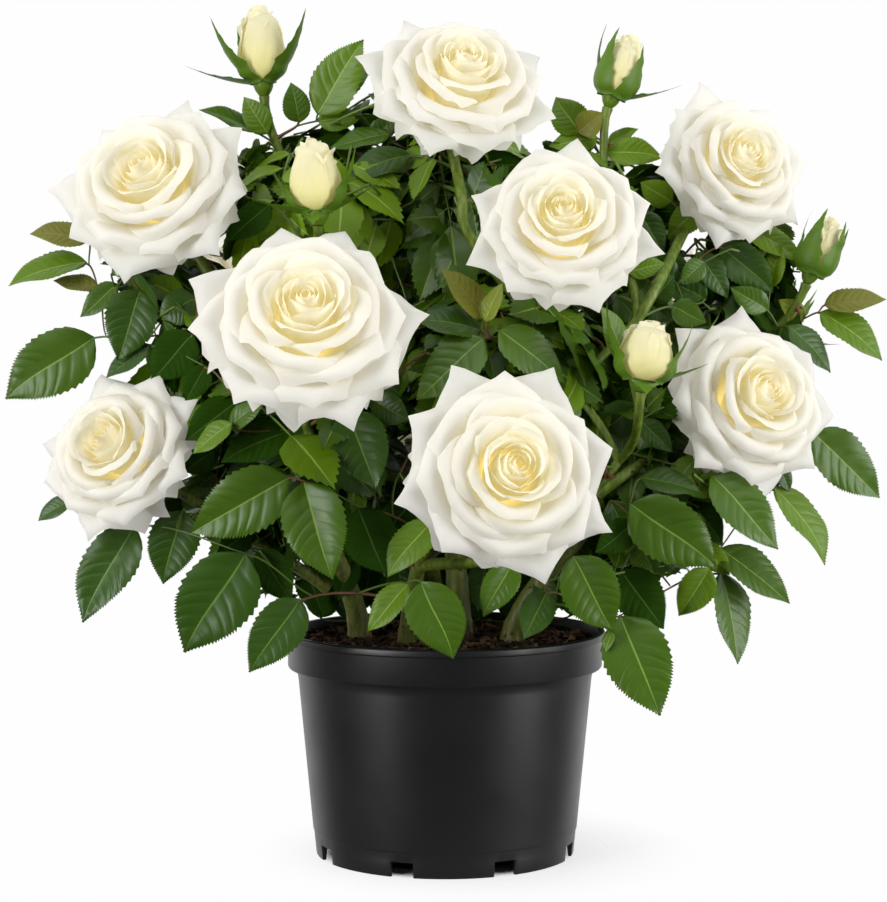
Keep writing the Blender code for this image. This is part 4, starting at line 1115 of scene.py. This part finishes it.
def add_wood(route, radii, first=0.0, last=1.0):
    """Makes the part of a limb between two shares of its length known as wood that twigs may spring from."""
    points, radii = np.array([tuple(point) for point in route]), np.asarray(radii)
    share = np.linspace(0, 1, len(points))
    fine = np.linspace(first, last, 14)
    places = np.stack([np.interp(fine, share, points[:, axis]) for axis in range(3)], 1)
    ahead = np.gradient(places, axis=0)
    wood.places.append(places)
    wood.headings.append(ahead / np.linalg.norm(ahead, axis=1)[:, None])
    wood.radii.append(np.interp(fine, share, radii))


def sprout(target, arriving, rings):
    """A route to a place from the wood that suits it best: near, below it, and with no flower in the way."""
    places, headings, radii = (np.concatenate(rows) for rows in (wood.places, wood.headings, wood.radii))
    away = np.array(target) - places
    far = np.linalg.norm(away, axis=1) + 1e-6
    straight = (headings * away).sum(1) / far
    above = np.maximum(0, places[:, 2] - target.z + 0.008)
    order = np.argsort(far + ABOVE_COST * above + BEND_COST * far * (1 - straight))[:TRIES]
    best = order[0]
    for index in order:
        start = Vector(places[index])
        if flower_skins.ray_cast(start, (target - start).normalized(), (target - start).length)[0] is None:
            best = index
            break
    start = Vector(places[best])
    straight = (target - start).normalized()
    leaving = (Vector(headings[best]) * 0.3 + straight).normalized()
    return bow(start, leaving, target, (arriving * 0.4 + straight).normalized(), rings), radii[best]


for name in [*CANES, "side_shoot_left"]:
    add_wood(*limbs[name], first=0.30 if name in CANES else 0.10, last=1.0 if name in CANES else 0.7)
bough_sleeve, twig_sleeve = sleeve(10, 16), sleeve(6, 8)
# Where each bough ends, which way it goes there, and how thick it is
entries = [(route[0], route[1] - route[0], radii[0]) for route, radii in (limbs[name] for name in STEMS)]
foot, axis, radius = flower_foot("rose_back_top")
entries.append((np.array(foot), np.array(axis), radius))
boughs = []
for place, ahead, radius in sorted(entries, key=lambda entry: entry[0][2]):
    route, parent = sprout(Vector(place), Vector(ahead).normalized(), bough_sleeve.rings)
    thick = min(parent * 0.82, 0.0042)
    radii = np.interp(np.linspace(0, 1, bough_sleeve.rings), [0, 0.12, 1], [thick * 1.25, thick, radius])
    boughs.append(bent(bough_sleeve, route, radii, bark_relief(len(boughs) + 70, 0.04, 2)))
    add_wood(route, radii, first=0.1)
for name in STEMS:
    add_wood(*limbs[name], last=0.72)
inner_boughs = joined("inner_boughs", [(bough_sleeve, boughs, 0)], stem_skin)
declare(inner_boughs, "cane_bark", "foliage_mid", "foliage_top")

twigs = []
for base, tip in sorted(zip(shown["base"], shown["tip"]), key=lambda pair: pair[0].z):
    ahead = (tip - base).normalized()
    route, parent = sprout(base, ahead, twig_sleeve.rings)
    radii = np.linspace(min(parent * 0.7, 0.0012), 0.0006, twig_sleeve.rings)
    twigs.append(bent(twig_sleeve, [*route[:-1], base + ahead * 0.001], radii))
    add_wood(route, radii, first=0.35, last=0.9)

# ---- Leaves of the crown -----------------------------------------------------------------------------------
# Compound leaves of five leaflets cover the crown's outside and, deeper down, fill it behind them. Each is
# a spray on its own twig, in one tint. A leaflet is left off where it would stand in a bloom, before its face
# or in a gap where the light shows through.
crown_masses = [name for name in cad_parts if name.startswith("foliage_")]
crown_skin = skin_of(crown_masses)
shown_skin = BVHTree.FromPolygons(
    [Vector(corner) for corner in shown_corners.reshape(-1, 3)],
    [[int(corner) + copy * len(fine_leaflet.corners) for corner in quad]
     for copy in range(count) for quad in fine_leaflet.loops.reshape(-1, 4)])
front_flowers = skin_of([name for name in ROSES if ROSES[name][0][1] < 0.05] +
                        [name for name in BUDS if BUDS[name][0][1] < 0.05])
front_stems = skin_of([*CANES, "side_shoot_left"] + [name for name in STEMS if "back" not in name])
in_front = (front_flowers, shown_skin, front_stems)  # what no leaflet of the crown may hide from the front
OUTLINE = np.array((  # the crown's outline from the front, inside its outermost leaves: pixels, in order
    (300, 606), (262, 604), (225, 578), (198, 545), (172, 515), (150, 500), (110, 470), (100, 420), (125, 380),
    (140, 372), (160, 345), (150, 318), (118, 300), (100, 262), (90, 200), (150, 140), (215, 125), (262, 140),
    (300, 120), (330, 104), (372, 84), (420, 60), (500, 60), (552, 128), (590, 128), (604, 150), (660, 168),
    (700, 150), (770, 180), (790, 236), (800, 262), (792, 296), (824, 350), (815, 384), (812, 412), (808, 440),
    (797, 476), (790, 490), (775, 500), (745, 520), (722, 545), (700, 560), (684, 580), (650, 600), (612, 612),
    (590, 618), (540, 616), (480, 618), (400, 616), (330, 614),
))
GAPS = (  # gaps in the crown where the light shows through: pixel and radius
    (345, 128, 10), (500, 142, 11), (455, 160, 6), (437, 195, 7), (247, 206, 9), (640, 176, 12), (700, 250, 5),
    (718, 238, 8), (708, 296, 8), (576, 343, 6), (149, 330, 9), (665, 340, 7), (734, 530, 10), (210, 262, 7),
    (330, 583, 8), (208, 535, 8), (250, 600, 8), (668, 585, 8), (300, 112, 8), (360, 104, 6), (322, 128, 5),
    (338, 155, 6), (252, 205, 7), (795, 277, 6), (610, 118, 12),
)
low_corner, high_corner = (Vector(corner) for corner in size_at_start)
SLACK = 0.004  # how far a leaflet may reach past the CAD solids
LOWEST, RIM_CLEAR, RIM_REACH = 0.088, 0.135, 0.100  # over the table, and over and round the pot's rim
PETAL_CLEAR, BLOOM_DEPTH = 0.002, 0.060  # from a flower's skin, and how deep inside one a place can be
FACE_REACH, FACE_RADIUS = 0.130, 1.12  # a rose's face is kept clear so far ahead, over so many radii


def pixel_of(place):
    """The pixel at which a point of space shows in the frame."""
    off = place - CAMERA_PLACE
    ahead = off.y * math.cos(CAMERA_DROP) - off.z * math.sin(CAMERA_DROP)
    up = off.y * math.sin(CAMERA_DROP) + off.z * math.cos(CAMERA_DROP)
    return FRAME_SIZE[0] / 2 + FOCAL_PIXELS * off.x / ahead, FRAME_SIZE[1] / 2 - FOCAL_PIXELS * up / ahead


def inside_outline(x, y):
    """Whether a pixel is within the crown's outline: a line from it to the right crosses it an odd time."""
    (ax, ay), (bx, by) = OUTLINE.T, np.roll(OUTLINE, -1, axis=0).T
    spans = (ay > y) != (by > y)
    crossing = ax + (y - ay) * (bx - ax) / np.where(by == ay, 1, by - ay)
    return (spans & (crossing > x)).sum() % 2 == 1


def in_gap(x, y):
    """Whether a pixel is in one of the gaps."""
    return any((x - gap_x) ** 2 + (y - gap_y) ** 2 < reach ** 2 for gap_x, gap_y, reach in GAPS)


def before_a_face(place):
    """Whether a place is just in front of an open rose."""
    for centre, turn, rise, radius in ROSES.values():
        axis, off = facing(turn, rise), place - Vector(centre)
        ahead = off.dot(axis)
        if -0.1 * radius < ahead < FACE_REACH and (off - axis * ahead).length < FACE_RADIUS * radius:
            return True
    return False


def has_room(base, tip, right):
    """Whether a leaflet may grow here, by four points on it."""
    for place in (tip, base.lerp(tip, 0.45) + right, base.lerp(tip, 0.45) - right, base.lerp(tip, 0.7)):
        if any(place[i] < low_corner[i] - SLACK or place[i] > high_corner[i] + SLACK for i in range(3)):
            return False
        if place.z < LOWEST or place.z < RIM_CLEAR and place.xy.length < RIM_REACH:
            return False
        nearest, normal, _, far = flower_skins.find_nearest(place)
        if far < PETAL_CLEAR or (place - nearest).dot(normal) < 0 and far < BLOOM_DEPTH:
            return False
        ahead = (place - CAMERA_PLACE).normalized()
        hides = any(skin.ray_cast(place, ahead)[0] is not None for skin in in_front)
        if hides or before_a_face(place):
            return False
        x, y = pixel_of(place)
        if in_gap(x, y) or not inside_outline(x, y):
            return False
    return True


dice = random.Random(17)
leaf_batches = {name: [] for name in crown_masses}
stalks = []
stalk_sleeve, short_sleeve = sleeve(5, 5), sleeve(4, 2)
PAIRS = ((0.40, 74, 0.036), (0.80, 56, 0.042))  # place on the stalk, angle from it and length, for each pair
STALK_BACK, STALK_LENGTH, STALK_DROOP, LAST_LENGTH = 0.048, 0.042, 0.004, 0.050


def random_heading():
    return Vector([dice.gauss(0, 1) for _ in range(3)]).normalized()


def spray(spot, normal, inset, mass, tint):
    """One compound leaf with its middle under a spot on the crown's outside, on its own twig."""
    size = dice.uniform(0.60, 0.86)
    face = (normal * 0.8 + Vector((0, 0, 0.42)) + random_heading() * 0.26).normalized()
    outwards = Vector((spot.x, spot.y, 0)).normalized()
    ahead = outwards * 0.5 + Vector((0, 0, -0.30)) + random_heading() * 0.55
    ahead = (ahead - face * ahead.dot(face)).normalized()
    right = ahead.cross(face)
    start = spot - normal * inset - ahead * STALK_BACK * size
    end = start + ahead * STALK_LENGTH * size - face * STALK_DROOP * size
    places = []
    for at, angle, length in PAIRS:
        for side in (-1, 1):
            turn = math.radians(angle + dice.uniform(-9, 9))
            heading = ahead * math.cos(turn) + right * side * math.sin(turn)
            places.append((start.lerp(end, at), heading, length * size * dice.uniform(0.85, 1.12)))
    straight_on = (ahead + random_heading() * 0.12).normalized()
    places.append((end, straight_on, LAST_LENGTH * size * dice.uniform(0.9, 1.1)))
    grown = []
    for root, heading, length in places:
        tilt = (face + random_heading() * 0.22).normalized()
        base = root + heading * 0.0026
        tip = base + (heading - tilt * dice.uniform(0.02, 0.30)).normalized() * length
        width = length * dice.uniform(0.58, 0.68)
        if has_room(base, tip, (tip - base).normalized().cross(tilt) * width * 0.4):
            grown.append((root, base, tip, tilt, width))
    if len(grown) < 2 or not inside_outline(*pixel_of(start)):
        return
    twig, parent = sprout(start, ahead, twig_sleeve.rings)
    radii = np.linspace(min(parent * 0.7, 0.0013), 0.0008, twig_sleeve.rings)
    twigs.append(bent(twig_sleeve, twig, radii))
    add_wood(twig, radii, first=0.3, last=0.8)
    stalk = bow(start, ahead, end, (ahead - face * 0.2).normalized(), stalk_sleeve.rings)
    stalks.append((stalk_sleeve, bent(stalk_sleeve, stalk, np.linspace(0.0008, 0.0005, stalk_sleeve.rings))))
    for root, base, tip, tilt, width in grown:
        stalks.append((short_sleeve, bent(short_sleeve, [root, base.lerp(tip, 0.03)], [0.0005, 0.0004])))
        leaf_batches[mass].append((base, tip, tilt, width, TINTS[tint]))


BRIGHT_ABOVE = 0.335  # above this height, mid leaves take the bright tint
LEAF_AIR, FLOWER_AIR, UNDERSIDE = 0.02, 0.03, -0.75  # no leaves where masses meet, at flowers, or underneath
LAYERS = (  # depth under the crown's outside, area per spray in square metres, and tints to deal out
    ((0.002, 0.010), 0.00062, ("mid", "bright", "dark", "mid", "fresh", "mid", "fresh")),
    ((0.014, 0.030), 0.00085, ("dark", "mid", "shade", "dark", "mid")),
    # the deepest leaves take the shade tint, which is painted shade
    ((0.036, 0.056), 0.00130, ("shade", "dark")),
)
for mass in crown_masses:
    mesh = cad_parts[mass].data
    mesh.calc_loop_triangles()
    triangles = [[mesh.vertices[index].co for index in facet.vertices] for facet in mesh.loop_triangles]
    normals = [(b - a).cross(c - a) for a, b, c in triangles]
    areas = [normal.length / 2 for normal in normals]
    for depth, share, tints in LAYERS:
        for _ in range(int(sum(areas) / share)):
            chosen = dice.choices(range(len(areas)), areas)[0]
            a, b, c = triangles[chosen]
            p, q = sorted((dice.random(), dice.random()))
            spot, normal = a * p + b * (q - p) + c * (1 - q), normals[chosen].normalized()
            outside = spot + normal * 0.0002
            shut = crown_skin.ray_cast(outside, normal, LEAF_AIR)[0] or \
                flower_skins.ray_cast(outside, normal, FLOWER_AIR)[0]
            if shut is None and normal.z > UNDERSIDE:
                inset, tint = dice.uniform(*depth), dice.choice(tints)
                if tint == "mid" and spot.z > BRIGHT_ABOVE:
                    tint = "bright"
                spray(spot, normal, inset, mass, tint)

QUILT = 0.022  # how far a blade swells between its veins, as a share of its length
seeds = np.random.default_rng(23)
for mass, rows in leaf_batches.items():
    base, tip, tilt, width, tint = (list(column) for column in zip(*rows))
    many = len(rows)
    arch, fold = seeds.uniform(0.01, 0.08, many), seeds.uniform(0.10, 0.45, many)
    sway = seeds.normal(0, 0.05, many)
    corners = laid_leaflets(plain_leaflet, base, tip, tilt, width, arch, fold, np.full(many, QUILT), sway)
    declare(joined(f"{mass}_leaflets", [(plain_leaflet, corners, tint)], *leaf_skins), "leaf", mass)
# Twig: thin and green with a little shine, and reddish on every third, as on shoots that stood in the sun
twig_skin = finish_of("green_twig", "4c6420", 0.45)[0]
sunny_twig_skin = finish_of("reddish_twig", "6a4a28", 0.45)[0]
every_third = [index % 3 // 2 for index in range(len(twigs))]
declare(joined("twigs", [(twig_sleeve, twigs, every_third)], twig_skin, sunny_twig_skin), "stem_green")
# Leaf stalk: thin and pale green, matte
leaf_stalk_skin = finish_of("leaf_stalk", "5f7a2c", 0.45)[0]
batches = [(shape, [corners for made, corners in stalks if made is shape], 0)
           for shape in (stalk_sleeve, short_sleeve)]
declare(joined("leaf_stalks", batches, leaf_stalk_skin), "stem_green")
